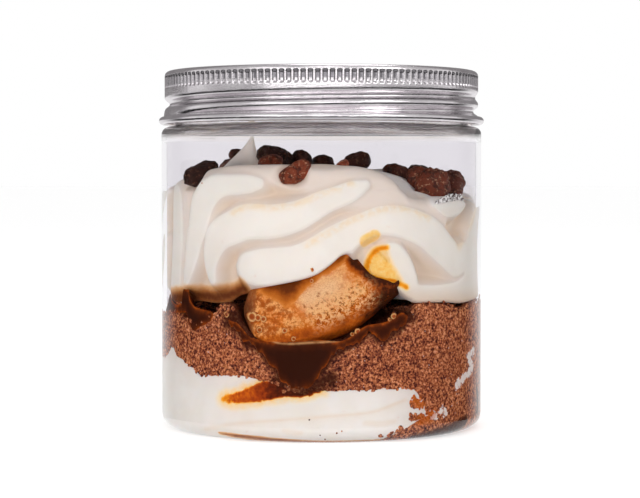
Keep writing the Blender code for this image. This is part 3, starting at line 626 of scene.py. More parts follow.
SMEAR = ((-36.8, 10.2, 0.4), (-32, 10.6, 1.2), (-27, 11.4, 1.6), (-22.4, 12.3, 2.0), (-18, 13.2, 2.2),
         (-13, 13.8, 2.1), (-6.6, 13.8, 2.0), (-0.8, 14.0, 1.3))
smear = track(SMEAR, base_points)
base_angle = angle_of(base_points)
smear = smear - (0.35 * drift(base_points, 1.6 * MM, 5) + 0.25 * drift(base_points, 0.7 * MM, 6)) * MM
base_syrup = ease(0.5 - smear / (0.7 * MM)) * (0.42 + 0.58 * ease((base_angle + 27) / 16)) \
    * ease((base_angle + 36) / 4)
base_amber = ease(0.75 - smear / (0.9 * MM)) * 0.8
base_amber = np.maximum(base_amber, 0.25 * ease(1 - smear / (3.2 * MM)) * ease((base_angle + 48) / 10))
# Lines along which painted shade is laid. The cream is not folded there, and the shade reaches furthest under the
# first line.
FOLD_SHADE_LINES = (((-45, 2.4), (-30, 4.6), (-14, 5.9), (3, 7.0), (17, 7.8), (30, 10.4)),
         ((15, 5.0, 0.2), (21, 4.7, 0.3), (26, 5.2, 0.1)),
         ((-13, 3.2, 0.1), (-10, 2.8, 0.3), (-7, 2.8, 0.1)))
painted_fold_shade = sum(np.exp(-(track(fold, base_points) / (0.5 * MM)) ** 2) for fold in FOLD_SHADE_LINES)
under_fold = track(FOLD_SHADE_LINES[0], base_points)
painted_fold_shade = painted_fold_shade + 0.5 * ease(1 - under_fold / (3 * MM)) \
    * (base_points[:, 2] < edge_height(FOLD_SHADE_LINES[0], base_angle))
# A painted shadow: a thin dark line along the cream's foot, laid in through the tan mark.
FOOT_SHADOW_LINE = ((-39, 1.9, 0.0), (-30, 1.5, 0.25), (-12, 0.9, 0.2), (0, 0.7, 0.1), (20, 0.7, 0.15), (36, 0.9, 0.3),
             (60, 1.0, 0.3))
painted_foot_shadow = ease(0.9 - track(FOOT_SHADOW_LINE, base_points) / (0.5 * MM))


def cream_finish(name, warm, pale):
    """Whipped cream: warm white, turned deeper and pinker by painted shade where the hollow mark is high. Thin
    coffee tints it yellow along its creases, amber where it is thicker and brown where it stands. The tan mark
    tints it from pale to brown, for a coffee-soaked edge and, on the base cream, a painted shadow along its
    foot; the thin mark gives a painted glow in place of light coming through a thin peak. It reads the marks
    hollow, wick, amber, tan, syrup and thin, all 0 to 1."""
    finish = Finish(name)
    cloud = finish.noise(7 * MM, 4.0)
    fleck = finish.noise(1.1 * MM, 4.0, 0.62)
    shade = finish.mix(cloud.eased(0.3, 0.7), warm, pale)
    # Painted shade: the hollow mark deepens the colour in furrows, under folds and along edges.
    shade = finish.mix(finish.mark("hollow"), shade, paint(233, 214, 190))
    shade = finish.mix(finish.mark("wick") * (fleck + cloud).eased(0.7, 1.2), shade, paint(240, 204, 140))
    amber = finish.mark("amber") + (fleck - 0.5) * 0.5 * finish.mark("amber").eased(0.05, 0.4)
    tint = finish.ramp(amber, ((0.12, paint(252, 234, 200)), (0.40, paint(255, 212, 124)),
                               (0.62, paint(250, 170, 40)), (0.95, paint(224, 112, 12))))
    shade = finish.mix(amber.eased(0.03, 0.25), shade, tint)
    ragged = finish.mark("syrup") + (fleck - 0.5) * 0.9
    stain = finish.ramp(ragged, ((0.30, paint(214, 106, 24)), (0.5, paint(178, 72, 22)),
                                 (0.75, paint(116, 44, 16)), (1.0, paint(72, 28, 12))))
    shade = finish.mix(ragged.eased(0.16, 0.30), shade, stain)
    # The tan mark: a coffee-soaked edge, and on the base cream a painted shadow along its foot.
    soak_and_foot_shadow = finish.mark("tan") + (fleck - 0.5) * 0.3
    tan_shade = finish.ramp(soak_and_foot_shadow, ((0.2, paint(246, 220, 186)), (0.5, paint(222, 168, 110)),
                                          (0.8, paint(168, 102, 52)), (1.0, paint(108, 56, 26))))
    shade = finish.mix(soak_and_foot_shadow.eased(0.05, 0.35), shade, tan_shade)
    soft = finish.bump(finish.noise(2.4 * MM, 3.0), 0.10 * MM)
    grain = finish.bump(finish.noise(0.35 * MM, 2.0), 0.012 * MM, soft)
    # The thin mark sets a painted glow, emitted as light.
    return finish.surface(Base_Color=shade, Roughness=0.5, Specular_IOR_Level=0.06, Subsurface_Weight=0.25,
                          Subsurface_Radius=(1.0, 0.75, 0.55), Subsurface_Scale=0.9 * MM, Normal=grain,
                          Emission_Color=finish.mix(finish.mark("thin"), (0, 0, 0, 1), (0.19, 0.16, 0.13, 1)),
                          Emission_Strength=1.0)


spread_cream = cream_finish("spread_cream", paint(238, 234, 226), paint(243, 240, 234))
# The hollow mark carries painted fold shade, and the tan mark a painted shadow along the foot.
base = piece("base_cream", base_points, base_faces, spread_cream,
             {"hollow": painted_fold_shade * 0.35, "wick": 0 * painted_fold_shade, "amber": base_amber, "tan": painted_foot_shadow * 0.85,
              "syrup": base_syrup, "thin": 0 * painted_fold_shade})
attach(base, "root")
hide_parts("cream_base")

# Sponge: chocolate sponge rubbed to moist crumbs and packed against the wall, pressed flat in places with
# dark pores between, and darker where coffee soaked in.
SPONGE_TOP_EDGE = ((-180, 34.5), (-110, 33.5), (-78, 31.0), (-66, 31.2), (-60, 31.0), (-50, 28.6),
                   (-42, 31.6), (-37, 33.6), (-33, 34.6), (-31, 32.6), (-28, 29.4), (-24, 26.6), (-18, 25.2),
                   (5, 25.2), (14, 27.6), (24, 28.8), (31, 31.4), (35, 33.6), (41, 34.2), (48, 33.8),
                   (56, 32.5), (64, 32.4), (76, 34.6), (110, 35.4), (150, 35.9))
SPONGE_MIDDLE = 33.0 * MM
SPONGE_ROUND = 1 * MM
LEVEL_MIDDLE = 15 * MM  # the layers lie level within this radius
SPONGE_COLUMNS, SPONGE_ROWS = 760, 96


def wallward(radius):
    """0 at the level middle and 1 at the wall, eased."""
    return ease((radius - LEVEL_MIDDLE) / (INSIDE - LEVEL_MIDDLE))


turn = all_round(SPONGE_COLUMNS)
top = edge_height(SPONGE_TOP_EDGE, turn)
rim_noise = ring(INSIDE, 30 * MM, turn)
top = top + 0.55 * MM * drift(rim_noise, 3.0 * MM, 11) + 0.45 * MM * drift(rim_noise, 1.1 * MM, 12)
sponge_rows = [pole(FOOD_FLOOR_IN), ring(20 * MM, FOOD_FLOOR_IN, turn), ring(33 * MM, FOOD_FLOOR_IN, turn),
               ring(35 * MM, 0.9 * MM, turn), ring(37 * MM, FOOD_FLOOR, turn)]
for share in np.linspace(0.004, 1, SPONGE_ROWS):
    height = FOOD_FLOOR + (top - SPONGE_ROUND - FOOD_FLOOR) * share
    sponge_rows.append(ring(wall_radius(height), height, turn))
for degrees in (30, 60, 90):
    inset, drop = round_edge(SPONGE_ROUND, degrees)
    sponge_rows.append(ring(INSIDE + PRESS - inset, top - drop, turn))
for radius in np.linspace(39.4, 22, 18) * MM:
    sponge_rows.append(ring(radius, SPONGE_MIDDLE + (top - SPONGE_MIDDLE) * wallward(radius), turn))
sponge_rows += [ring(10 * MM, SPONGE_MIDDLE, turn), pole(SPONGE_MIDDLE)]
sponge_points, sponge_faces = skin(sponge_rows)
outwards = sponge_points * (1, 1, 0)
outwards /= np.maximum(np.linalg.norm(outwards, axis=1), 1e-9)[:, None]
on_top = ease((39.8 * MM - np.hypot(sponge_points[:, 0], sponge_points[:, 1])) / (1.5 * MM)) \
    * (sponge_points[:, 2] > 20 * MM)
crumb, crumb_draw = grains(sponge_points, 0.95 * MM, 20)
fine_crumb, _ = grains(sponge_points, 0.62 * MM, 40)
clump = drift(sponge_points, 4.5 * MM, 60)
pit = ease((crumb - 0.38) / 0.45) * 0.14 * MM + ease((fine_crumb - 0.45) / 0.4) * 0.10 * MM
below_top = edge_height(BASE_TOP_EDGE, angle_of(sponge_points)) - 0.5 * MM - sponge_points[:, 2]
above_foot = sponge_points[:, 2] - edge_height(BASE_LOW_EDGE, angle_of(sponge_points))
buried = ease(below_top / (0.6 * MM)) * ease(above_foot / (0.6 * MM))  # behind the base cream
sponge_points = sponge_points - outwards * (pit * (1 - on_top) + 0.8 * MM * buried)[:, None]
sponge_points[:, 2] += on_top * ((0.9 * clump - 1.1 * ease(crumb / 0.8)) * MM)

POOL_LOW = ((-34, 29.1), (-31.5, 28.2), (-29, 27.2), (-28, 25.0), (-24, 23.9), (-21, 22.4), (-19, 20.4),
            (-16, 18.2), (-14, 15.4), (-10.5, 13.6), (-6, 13.0), (-3, 14.6), (-0.5, 17.4), (2, 19.4),
            (3.5, 21.6), (8, 23.5), (13, 25.4), (17, 27.6), (19, 26.1), (21.5, 25.7), (24.5, 26.9),
            (27, 27.8), (29.5, 28.6), (31, 30.4))
POOL_TOP = ((-34, 30.4), (-31, 30.0), (-28, 28.4), (-26, 26.8), (-22, 25.6), (-16, 25.2), (-2, 25.8), (6, 25.4),
            (9, 26.1), (13, 28.2), (16, 29.3), (22, 29.9), (25, 30.9), (29, 32.2), (31, 31.4))


def open_edge(edge, degrees):
    """The same as edge_height for an edge with two ends."""
    knots, values = np.array(edge, float).T
    return monotone(knots, values * MM, np.clip(degrees, knots[0], knots[-1]))


sponge_angle = angle_of(sponge_points)
below_pool = open_edge(POOL_LOW, sponge_angle) - sponge_points[:, 2]
soaked = ease(1 - below_pool / (2.2 * MM + 1.0 * MM * drift(sponge_points, 2 * MM, 80))) \
    * ease((37 - np.abs(sponge_angle + 1)) / 4)
BELOW_POOL = ((-15, 15), (-8, 13.8), (-1, 14.6), (3, 16))
WET_RUNS = (((34, 1.0, 0.2), (42, 1.2, 0.6), (52, 1.8, 1.0), (62, 3.4, 0.8)),
            ((74, 11.0, 0.3), (75.5, 8.0, 0.6), (75, 5.0, 0.4)))
CREAM_STREAKS = (((69, 21.0), (64.5, 19.8), (66, 18.3), (68, 16.8), (64, 15.2), (59, 14.0), (55.5, 12.8)),
                 ((47, 6.8), (48.5, 6.4)), ((42, 6.0), (43.5, 5.8)))
soaked = np.maximum(soaked, ease(1.3 - track(BELOW_POOL, sponge_points) / (2.6 * MM)))
for run in WET_RUNS:
    soaked = np.maximum(soaked, ease(1 - track(run, sponge_points) / (1.2 * MM)))
# Less syrup came to the sides.
dry = ease((np.abs(sponge_angle - 8) - 14) / 28) * np.where(sponge_angle > 0, 1, 0.4)
near_streaks = [ease(1.0 - track(line, sponge_points) / (2.7 * MM)) for line in CREAM_STREAKS]
cream_bits = np.max(near_streaks, axis=0) * 0.85


def by_cream_end(points):
    """How near points are to the base cream's right end, where syrup turned the crumbs orange."""
    along_end = ((28, 11.6), (34, 10.6), (36, 8.4), (37, 5.0), (43, 6.4))
    return 0.7 * ease(1 - np.maximum(track(along_end, points), 0) / (3.4 * MM))


sponge = Finish("chocolate_sponge")
blotch = sponge.noise(4.0 * MM, 3.0)
clod = sponge.noise(1.9 * MM, 2.0)
grit = sponge.noise(0.62 * MM, 3.0, 0.62) + (sponge.noise(0.36 * MM, 1.0) - 0.5) * 0.30
# The pit mark also darkens the crumbs a little in their pits: painted shade.
grain = grit + (sponge.mark("owner") - 0.5) * 0.10 + (blotch - 0.5) * 0.10 + (clod - 0.5) * 0.16 \
    - sponge.mark("pit") * 0.05 + sponge.mark("dry") * 0.034 + 0.006
crumb_shade = sponge.ramp(grain, ((0.33, paint(54, 28, 27)), (0.42, paint(116, 63, 50)),
                                  (0.50, paint(168, 95, 65)), (0.58, paint(212, 132, 84)),
                                  (0.70, paint(244, 178, 130))))
cream_fleck = sponge.mark("cream_bits") + (sponge.noise(1.2 * MM, 5.0, 0.7) - 0.5) * 2.0
crumb_shade = sponge.mix(cream_fleck.eased(0.55, 0.62) * sponge.mark("cream_bits").eased(0.05, 0.3), crumb_shade,
                         paint(255, 250, 244))
light_fleck = sponge.noise(0.75 * MM, 1.0, at=sponge.node("ShaderNodeVectorMath", {"operation": "ADD"},
                                                          {0: sponge.place, 1: (0.5, 0.2, 0.1)}))
crumb_shade = sponge.mix(light_fleck.eased(0.74, 0.78), crumb_shade, paint(238, 214, 200))
amber_crumb = sponge.mark("amber") + (blotch - 0.5) * 1.2 * sponge.mark("amber").eased(0.05, 0.3)
crumb_shade = sponge.mix(amber_crumb.eased(0.25, 0.75) * 0.62, crumb_shade, paint(226, 118, 32))
wet = sponge.mark("soaked")
crumb_shade = sponge.mix(wet * 0.92, crumb_shade, paint(62, 26, 14))
sponge_bump = sponge.bump(grit, 0.22 * MM)
packed = piece("packed_sponge", sponge_points, sponge_faces, sponge.surface(
    Base_Color=crumb_shade, Roughness=0.85 - wet * 0.4, Specular_IOR_Level=0.05, Normal=sponge_bump),
    {"owner": crumb_draw, "pit": np.clip(pit / (0.24 * MM), 0, 1), "soaked": soaked, "cream_bits": cream_bits,
     "amber": by_cream_end(sponge_points), "dry": dry})
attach(packed, "root")
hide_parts("chocolate_sponge")

# Sponge finger: a baked finger biscuit, its crust crackled and pored. It leans against the wall in the hollow
# between sponge and cream. Coffee soaked its left end and its upper edge, and its right end is baked dark.
FINGER_CENTRE = np.array((1.0, -31.5, 38.0)) * MM
FINGER_HALF = np.array((21.5, 8.8, 11.6)) * MM  # along, through, across
FINGER_TILT = math.radians(25)
FINGER_LEAN = 0.28
FINGER_SQUARE = 2.4
FINGER_ROUND, FINGER_ALONG = 260, 300
share = np.radians(np.linspace(-90, 90, FINGER_ALONG + 1)[1:-1])
turn = np.radians(np.arange(FINGER_ROUND) * 360 / FINGER_ROUND)


def squared(value, square):
    """A sine or cosine that rounds a corner the squarer, the more square is above 2, as in a superellipse."""
    return np.sign(value) * np.abs(value) ** (2 / square)


def finger_row(s):
    """One cross-section: a rounded rectangle that shrinks to the blunt end by the same superellipse."""
    end = squared(np.cos(s), FINGER_SQUARE)
    return np.stack([FINGER_HALF[0] * squared(np.sin(s), FINGER_SQUARE) + 0 * turn,
                     FINGER_HALF[1] * end * squared(np.cos(turn), FINGER_SQUARE),
                     FINGER_HALF[2] * end * squared(np.sin(turn), FINGER_SQUARE)], axis=1)


finger_rows = [finger_row(s) for s in share]
finger_rows = [np.array([(-FINGER_HALF[0], 0, 0)]), *finger_rows, np.array([(FINGER_HALF[0], 0, 0)])]
finger_points, finger_faces = skin(finger_rows)
bulge = drift(finger_points, 9 * MM, 90) * 0.7 * MM + drift(finger_points, 4 * MM, 91) * 0.35 * MM
along, across = finger_points[:, 0] / MM, finger_points[:, 2] / MM
pore, pore_draw = grains(finger_points, 1.9 * MM, 95)
small_pore, small_draw = grains(finger_points, 1.05 * MM, 99)
porous = ease((along + 9) / 5) * ease((1.2 - across) / 3) * ease((across + 10.5) / 4)
porous = np.clip(porous * (1 + 0.9 * drift(finger_points, 4 * MM, 103)), 0, 1)
pores = ease((0.26 * pore_draw - pore) / 0.10) * 0.8 * MM
pores = (pores + ease((0.40 * small_draw - small_pore) / 0.10) * 0.45 * MM) * porous
direction = finger_points / FINGER_HALF**2
direction /= np.maximum(np.linalg.norm(direction, axis=1), 1e-9)[:, None]
finger_points = finger_points + direction * (bulge - pores)[:, None]
right_end, low_edge = ease((along - 3) / 13), ease((-across - 2.5 - 0.1 * along) / 7)
frothy = ease((along + 8) / 4) * ease((13 - along) / 6) * ease((0.5 - across) / 4) * ease((across + 10) / 4)
left_end = ease((-along - 6) / 6)
# A painted highlight: a pale band along the middle of the crust.
painted_highlight_band = np.exp(-((across - 0.2) / 3.6) ** 2) * ease((along + 9) / 4) * ease((9 - along) / 8)
cos_tilt, sin_tilt = math.cos(FINGER_TILT), math.sin(FINGER_TILT)
tilted_x = finger_points[:, 0] * cos_tilt - finger_points[:, 2] * sin_tilt
tilted_z = finger_points[:, 0] * sin_tilt + finger_points[:, 2] * cos_tilt
finger_points = np.stack([tilted_x, finger_points[:, 1], tilted_z], axis=1) + FINGER_CENTRE
finger_points[:, 1] += FINGER_LEAN * (finger_points[:, 2] - FINGER_CENTRE[2])
radius = np.hypot(finger_points[:, 0], finger_points[:, 1])
finger_points[:, :2] *= np.minimum(1, (INSIDE - 0.05 * MM) / radius)[:, None]
sideways, upwards = finger_points[:, 0] / MM, finger_points[:, 2] / MM
ragged_edge = 0.9 * drift(finger_points, 2.2 * MM, 107) + 0.4 * drift(finger_points, 0.9 * MM, 108)
wet_line = np.interp(sideways, (-17, -15, -11.5, -8.8, -6.6, -4.6, 0.4, 4.4, 7.0, 9),
                     (36.8, 36.6, 35.0, 33.6, 34.6, 37.4, 40.8, 43.2, 45.6, 47.5))
above_line = upwards + ragged_edge * 0.6 - wet_line
wet_top = ease((above_line + 1.4) / 3.2) * (0.40 + 0.60 * ease(above_line / 4.5))
wet_left = ease((-sideways - 15.6 + ragged_edge * 1.4 + 0.35 * np.maximum(0, upwards - 33.5)) / 2.2)
far_corner = ease((upwards - 36.6 - 0.5 * (sideways + 20)) / 1.6) * ease((-11 - sideways) / 3)
far_corner = np.maximum(far_corner, 0.85 * ease((-sideways - 16.9 + 0.8 * ragged_edge) / 2.4))
burnt_tip = ease(1 - (np.interp(sideways, (4, 6, 9, 13, 20), (46.6, 46.8, 44.2, 40.6, 39.4)) - upwards) / 4.6) \
    * ease((sideways - 3.5) / 4)
toast_at = np.clip(np.maximum(right_end * 0.85 + low_edge * 0.6, burnt_tip * 1.05), 0, 1.1)

crust = Finish("baked_crust")
mottle = crust.noise(3.2 * MM, 5.0, 0.62)
foam = crust.noise(0.9 * MM, 4.0, 0.6)
speckle = crust.noise(0.32 * MM, 2.0, 0.6)
marbled = crust.noise(2.2 * MM, 5.0, 0.7, distortion=1.2)
crust_shade = crust.mix((mottle * 0.5 + foam * 0.5).eased(0.42, 0.58), paint(255, 188, 110), paint(232, 130, 48))
# Painted highlight: the pale mark lightens a band along the crust's middle.
crust_shade = crust.mix(crust.mark("pale") * 0.85, crust_shade, paint(255, 214, 160))
crust_shade = crust.mix(speckle.eased(0.54, 0.38) * 0.36, crust_shade, paint(206, 122, 58))
toast = crust.mark("toast") + (mottle - 0.5) * 0.8 + (foam - 0.5) * 0.6
toasted = crust.ramp(toast, ((0.2, paint(228, 132, 42)), (0.5, paint(200, 98, 22)), (0.8, paint(140, 62, 14)),
                             (1.05, paint(66, 28, 8))))
crust_shade = crust.mix(toast.eased(0.12, 0.40), crust_shade, toasted)
lace = crust.mark("lace") * (marbled * 0.6 + foam * 0.4).eased(0.46, 0.56)
crust_shade = crust.mix(lace * 0.8, crust_shade, paint(170, 78, 18))
froth = crust.noise(0.95 * MM, 5.0, 0.75, distortion=0.6)
crust_shade = crust.mix(crust.mark("froth") * froth.eased(0.47, 0.55), crust_shade, paint(252, 200, 136))
crust_shade = crust.mix(crust.mark("froth") * froth.eased(0.45, 0.38) * 0.9, crust_shade, paint(122, 50, 10))
# Painted shade: the pores are darkened in colour.
crust_shade = crust.mix(crust.mark("pore") * 0.9, crust_shade, paint(168, 78, 22))
wetness = crust.mark("syrup") + (foam - 0.5) * 0.25 + (mottle - 0.5) * 0.35
soaked_crust = crust.ramp(wetness, ((0.3, paint(230, 142, 58)), (0.55, paint(206, 114, 36)),
                                    (0.8, paint(164, 82, 22)), (1.05, paint(112, 54, 16))))
crust_shade = crust.mix(wetness.eased(0.12, 0.36), crust_shade, soaked_crust)
drenched = (crust.mark("coffee") + (foam - 0.5) * 0.6).eased(0.1, 0.9)
crust_shade = crust.mix(drenched * 0.8, crust_shade, paint(146, 78, 40))
crust_shade = crust.mix(crust.mark("corner"), crust_shade, paint(64, 30, 16))
crust_bump = crust.bump(crust.noise(0.5 * MM, 4.0), 0.20 * MM)
finger = piece("sponge_finger_crust", finger_points, finger_faces, crust.surface(
    Base_Color=crust_shade, Roughness=0.5, Specular_IOR_Level=0.08, Normal=crust_bump),
    {"pore": np.clip(pores / (0.45 * MM), 0, 1), "toast": toast_at, "syrup": wet_top, "lace": left_end,
     "pale": painted_highlight_band, "froth": frothy, "coffee": wet_left, "corner": far_corner * 0.9})
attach(finger, "root")
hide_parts("sponge_finger")

# Coffee: syrup that ran out of the soaked finger and stands against the wall, near black where it is deep and
# amber along its edge.
COFFEE_FRONT = (INSIDE + 0.1 * MM, INSIDE + PRESS + 0.18 * MM)  # radius along its outline and inside it
COFFEE_ROWS, COFFEE_COLUMNS = 40, 5  # rows on each side, and columns to a degree


def wall_patch(name, low_edge, top_edge, span, finish, front, back, seed, ragged=0.55 * MM):
    """A body against the wall between two edges: a lens in section, so that it is thin along its whole
    outline. Its marks give the distance to the outline."""
    degrees = np.linspace(span[0], span[1], int((span[1] - span[0]) * COFFEE_COLUMNS))
    low, high = open_edge(low_edge, degrees), open_edge(top_edge, degrees)
    edge_noise = ring(JAR_RADIUS, 0, degrees)
    low = low + ragged * (0.8 * drift(edge_noise, 1.8 * MM, seed) + 1.2 * drift(edge_noise, 0.8 * MM, seed + 1))
    high = np.maximum(high, low + 0.15 * MM)
    turn = np.linspace(-math.pi, math.pi, 2 * COFFEE_ROWS, endpoint=False)
    share = 0.5 - 0.5 * np.cos(turn)[:, None]
    height = low + (high - low) * share
    to_end = np.minimum(degrees - span[0], span[1] - degrees) * math.pi / 180 * JAR_RADIUS
    rim = np.minimum(np.minimum(height - low, high - height), to_end)
    outside = (turn < 0)[:, None]
    thick = ease(rim / (0.5 * MM))
    deep = ease(rim / (4 * MM))
    radius = np.where(outside, front[0] + (front[1] - front[0]) * thick, front[0] - back * deep)
    points = ring(radius, height, degrees + 0 * height)
    ends = [points[:, 0].mean(axis=0, keepdims=True), points[:, -1].mean(axis=0, keepdims=True)]
    body, faces = skin([ends[0], *np.swapaxes(points, 0, 1), ends[1]])
    marks = np.concatenate([[0], np.swapaxes(np.broadcast_to(rim, radius.shape), 0, 1).ravel(), [0]])
    return piece(name, body, faces, finish, {"rim": marks / MM})


coffee = Finish("coffee_syrup")
depth_in = coffee.mark("rim") + (coffee.noise(1.7 * MM, 4.0, 0.6) - 0.5) * 2.6
coffee_shade = coffee.ramp(depth_in * 0.25, (
    (0.0, paint(176, 84, 24)), (0.07, paint(134, 60, 18)), (0.20, paint(92, 40, 14)), (0.36, paint(74, 30, 11)),
    (0.7, paint(58, 23, 9))))
# A painted highlight: a pale line along the pool's top where its meniscus catches the light.
coffee_shade = coffee.mix(coffee.mark("meniscus_highlight") * coffee.noise(3 * MM, 3.0).eased(0.35, 0.55), coffee_shade,
                          paint(214, 160, 104))
coffee_material = coffee.surface(Base_Color=coffee_shade, Roughness=0.3, Specular_IOR_Level=0.04)
pool = wall_patch("coffee_pool_body", POOL_LOW, POOL_TOP, (-34, 31), coffee_material, COFFEE_FRONT, 6 * MM, 120)
FILM_TOP = ((-80, 27.6), (-76, 30.2), (-71, 33.6), (-68.5, 35.8), (-66, 33.9), (-62, 33.2), (-58.6, 33.8),
            (-57.2, 37.4), (-54, 37.4), (-53, 34.9), (-50, 33.1), (-46, 32.6), (-42, 32.2), (-40, 31.4))
FILM_LOW = ((-80, 27.4), (-74, 29.4), (-66, 31.0), (-60, 31.2), (-56, 31.4), (-53.5, 28.4), (-51, 26.9),
            (-46, 28.2), (-42, 29.6), (-40, 31.2))
film = wall_patch("coffee_film_body", FILM_LOW, FILM_TOP, (-80, -40), coffee_material, COFFEE_FRONT, 2 * MM, 130,
                  0.15 * MM)
pool_points = np.zeros(len(pool.data.vertices) * 3)
pool.data.vertices.foreach_get("co", pool_points)
# The line of the painted meniscus highlight.
MENISCUS_HIGHLIGHT_LINE = ((-21, 27.2), (-19.5, 26.0), (-15, 25.0), (-10, 24.8), (-4, 25.1), (2, 25.3), (6, 25.6))
meniscus_highlight = np.exp(-(track(MENISCUS_HIGHLIGHT_LINE, pool_points.reshape(-1, 3)) / (0.24 * MM)) ** 2)
pool.data.attributes.new("meniscus_highlight", "FLOAT", "POINT").data.foreach_set("value", meniscus_highlight.astype(np.float32))
for made, node in ((pool, "coffee_pool"), (film, "coffee_film")):
    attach(made, "root")
    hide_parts(node)

# Piped cream: one thick rope of cream piped round and round through a plain nozzle. It lies against the wall
# in flat bands with furrows between, and ends in a drawn-up peak.
CREAM_LOW_EDGE = ((-180, 34.3), (-110, 33.4), (-80, 32.8), (-72, 33.0), (-67, 33.8), (-60, 33.9), (-55, 34.2),
                  (-52, 34.2), (-46, 34.0), (-38, 34.4), (-32, 36.4), (-28, 37.0), (-22, 38.4), (-16, 39.2),
                  (-8, 40.4), (-2, 41.8), (3, 44.2), (7, 46.6), (9, 47.0), (12, 45.2), (16, 42.2), (20, 40.9),
                  (24, 39.8), (28, 37.6), (31, 35.8), (35, 34.5), (47, 34.3), (60, 33.7), (68, 34.0),
                  (76, 34.4), (110, 34.7), (150, 35.2))
CREAM_TOP_EDGE = ((-180, 64), (-130, 66), (-90, 65.2), (-75, 64.4), (-62, 66.2), (-46, 68.2), (-30, 69.2),
                  (0, 69.2), (12, 68.8), (20, 67.8), (26, 66.2), (30, 63.8), (33, 61.8), (38, 60.8),
                  (46, 61.2), (58, 61.8), (62, 61.2), (67, 59.6), (75, 60.2), (105, 63), (150, 66.4))
CREAM_MIDDLE = 34.2 * MM
# Bands as lines of (degrees, millimetres, half width); a rope is one that stands back from the wall.
BANDS = (
    ((-22, 64.4, 0.6), (-27, 64.2, 1.6), (-35, 64.0, 1.9), (-41, 63.0, 2.8), (-46, 60.0, 3.5), (-48, 56.0, 3.2),
     (-50, 51.5, 2.6), (-52, 46.5, 2.0), (-54, 42.5, 1.2), (-56, 39.0, 0.4)),
    ((-62.5, 64.0, 0.5), (-62, 60.0, 1.8), (-62, 52.0, 2.1), (-63, 44.0, 2.2), (-64, 37.0, 2.4)),
    ((15, 64.0, 0.5), (10, 62.5, 1.7), (5, 61.0, 1.9), (0, 59.5, 2.3), (-5, 57.5, 2.7), (-10, 56.0, 3.1),
     (-17, 55.0, 3.5), (-26, 55.0, 3.7), (-32, 53.5, 3.5), (-38, 51.5, 3.3), (-41, 48.0, 2.5), (-42, 45.0, 1.6),
     (-42, 42.5, 0.9), (-41, 40.0, 0.3)),
    ((-25, 43.5, 3.3), (-20, 43.5, 4.1), (-16, 43.5, 4.2), (-10, 44.0, 4.1), (-5, 45.0, 4.2), (0, 47.0, 4.1),
     (5, 49.5, 3.8), (10, 52.0, 3.1), (15, 54.0, 2.5), (20, 55.0, 2.8), (27, 55.0, 3.1), (33, 54.0, 3.3),
     (40, 52.0, 3.5), (45, 49.5, 3.6), (50, 47.0, 3.5), (55, 44.8, 3.4), (60, 45.4, 3.2)),
    ((24, 48.5, 0.3), (26, 47.5, 1.2), (28, 45.5, 1.9), (30, 43.0, 2.0), (32, 40.5, 1.6), (34, 38.0, 0.4)),
    ((77, 60.0, 1.2), (73, 55.5, 2.2), (69, 50.0, 3.6), (68, 45.0, 4.4), (68, 40.5, 4.6), (69, 36.5, 4.6)),
    ((29, 38.0, 0.4), (36, 36.6, 1.6), (45, 36.0, 2.0), (56, 36.3, 2.4), (66, 37.5, 3.4)),
    ((19, 45.0, 1.2), (21, 43.0, 1.8), (25, 41.6, 1.2)),
    ((44, 59.8, 0.7), (50, 59.0, 2.2), (56, 59.4, 2.2), (61, 60.2, 0.8)),
)
SIDE_BANDS = (
    ((85, 62.5, 0.6), (91, 60.0, 2.1), (97, 56.0, 2.9), (102, 50.5, 3.1), (106, 45.0, 2.6), (109, 40.5, 1.2)),
    ((86, 51.0, 0.6), (89, 47.5, 1.9), (93, 43.0, 2.5), (97, 38.4, 2.4)),
    ((-74, 62.5, 0.6), (-80, 59.5, 2.0), (-86, 54.5, 2.7), (-91, 48.0, 2.8), (-95, 41.5, 2.0)),
    ((-77, 50.0, 0.6), (-80, 45.5, 2.0), (-84, 40.0, 2.4)),
)
ROPES = (
    (((-62, 66, 1.0), (-46, 66.8, 1.6), (-32, 67.3, 1.8), (-20, 67.2, 1.8), (-10, 66.0, 2.0), (1, 65.0, 2.2),
      (13, 66.0, 2.2), (22, 65.5, 2.0), (27, 64.0, 1.4)), 0.9 * MM),
    (((4, 59.5, 0.8), (12, 60.2, 1.2), (20, 60.6, 1.5), (30, 60.2, 1.6), (40, 58.2, 1.6), (48, 55.0, 1.2)),
     0.7 * MM),
    (((-56, 62, 0.5), (-56.5, 52, 0.8), (-57, 42, 0.8)), 0.5 * MM),
)
FURROW, FURROW_SLOPE, BAND_BLEND = 4.4 * MM, 4.6 * MM, 0.28 * MM
SWIRL_WAVE, SWIRL_HEIGHT, SWIRL_DISH, SWIRL_LEVEL = 13.0 * MM, 1.6 * MM, 0.6 * MM, 66.6 * MM
PEAK_PLACE = np.array((-18.4, 3.4)) * MM
PEAK_HEIGHT, PEAK_SPREADS = 10.6 * MM, (2.0 * MM, 4.4 * MM)  # to the right and to the left
PRESSED_DROPS = ((-10.5, 67.2, 3.6), (-54.0, 67.4, 4.0))
DROP_DENT = 3.4 * MM
HOLLOW_PLACE = np.array((27.0, -17.0)) * MM
HOLLOW_DEPTH, HOLLOW_SPREAD = 3.4 * MM, 11.0 * MM
CREAM_COLUMNS, CREAM_ROWS = 560, 96
FOOT_ROUND, EDGE_ROUND = 1.0 * MM, 3.2 * MM
CREAM_UNDERSIDE = (10, 20, 28, 34, 37.5)  # radii of its rings in millimetres


def half_turned(points):
    return points * (-1, -1, 1)


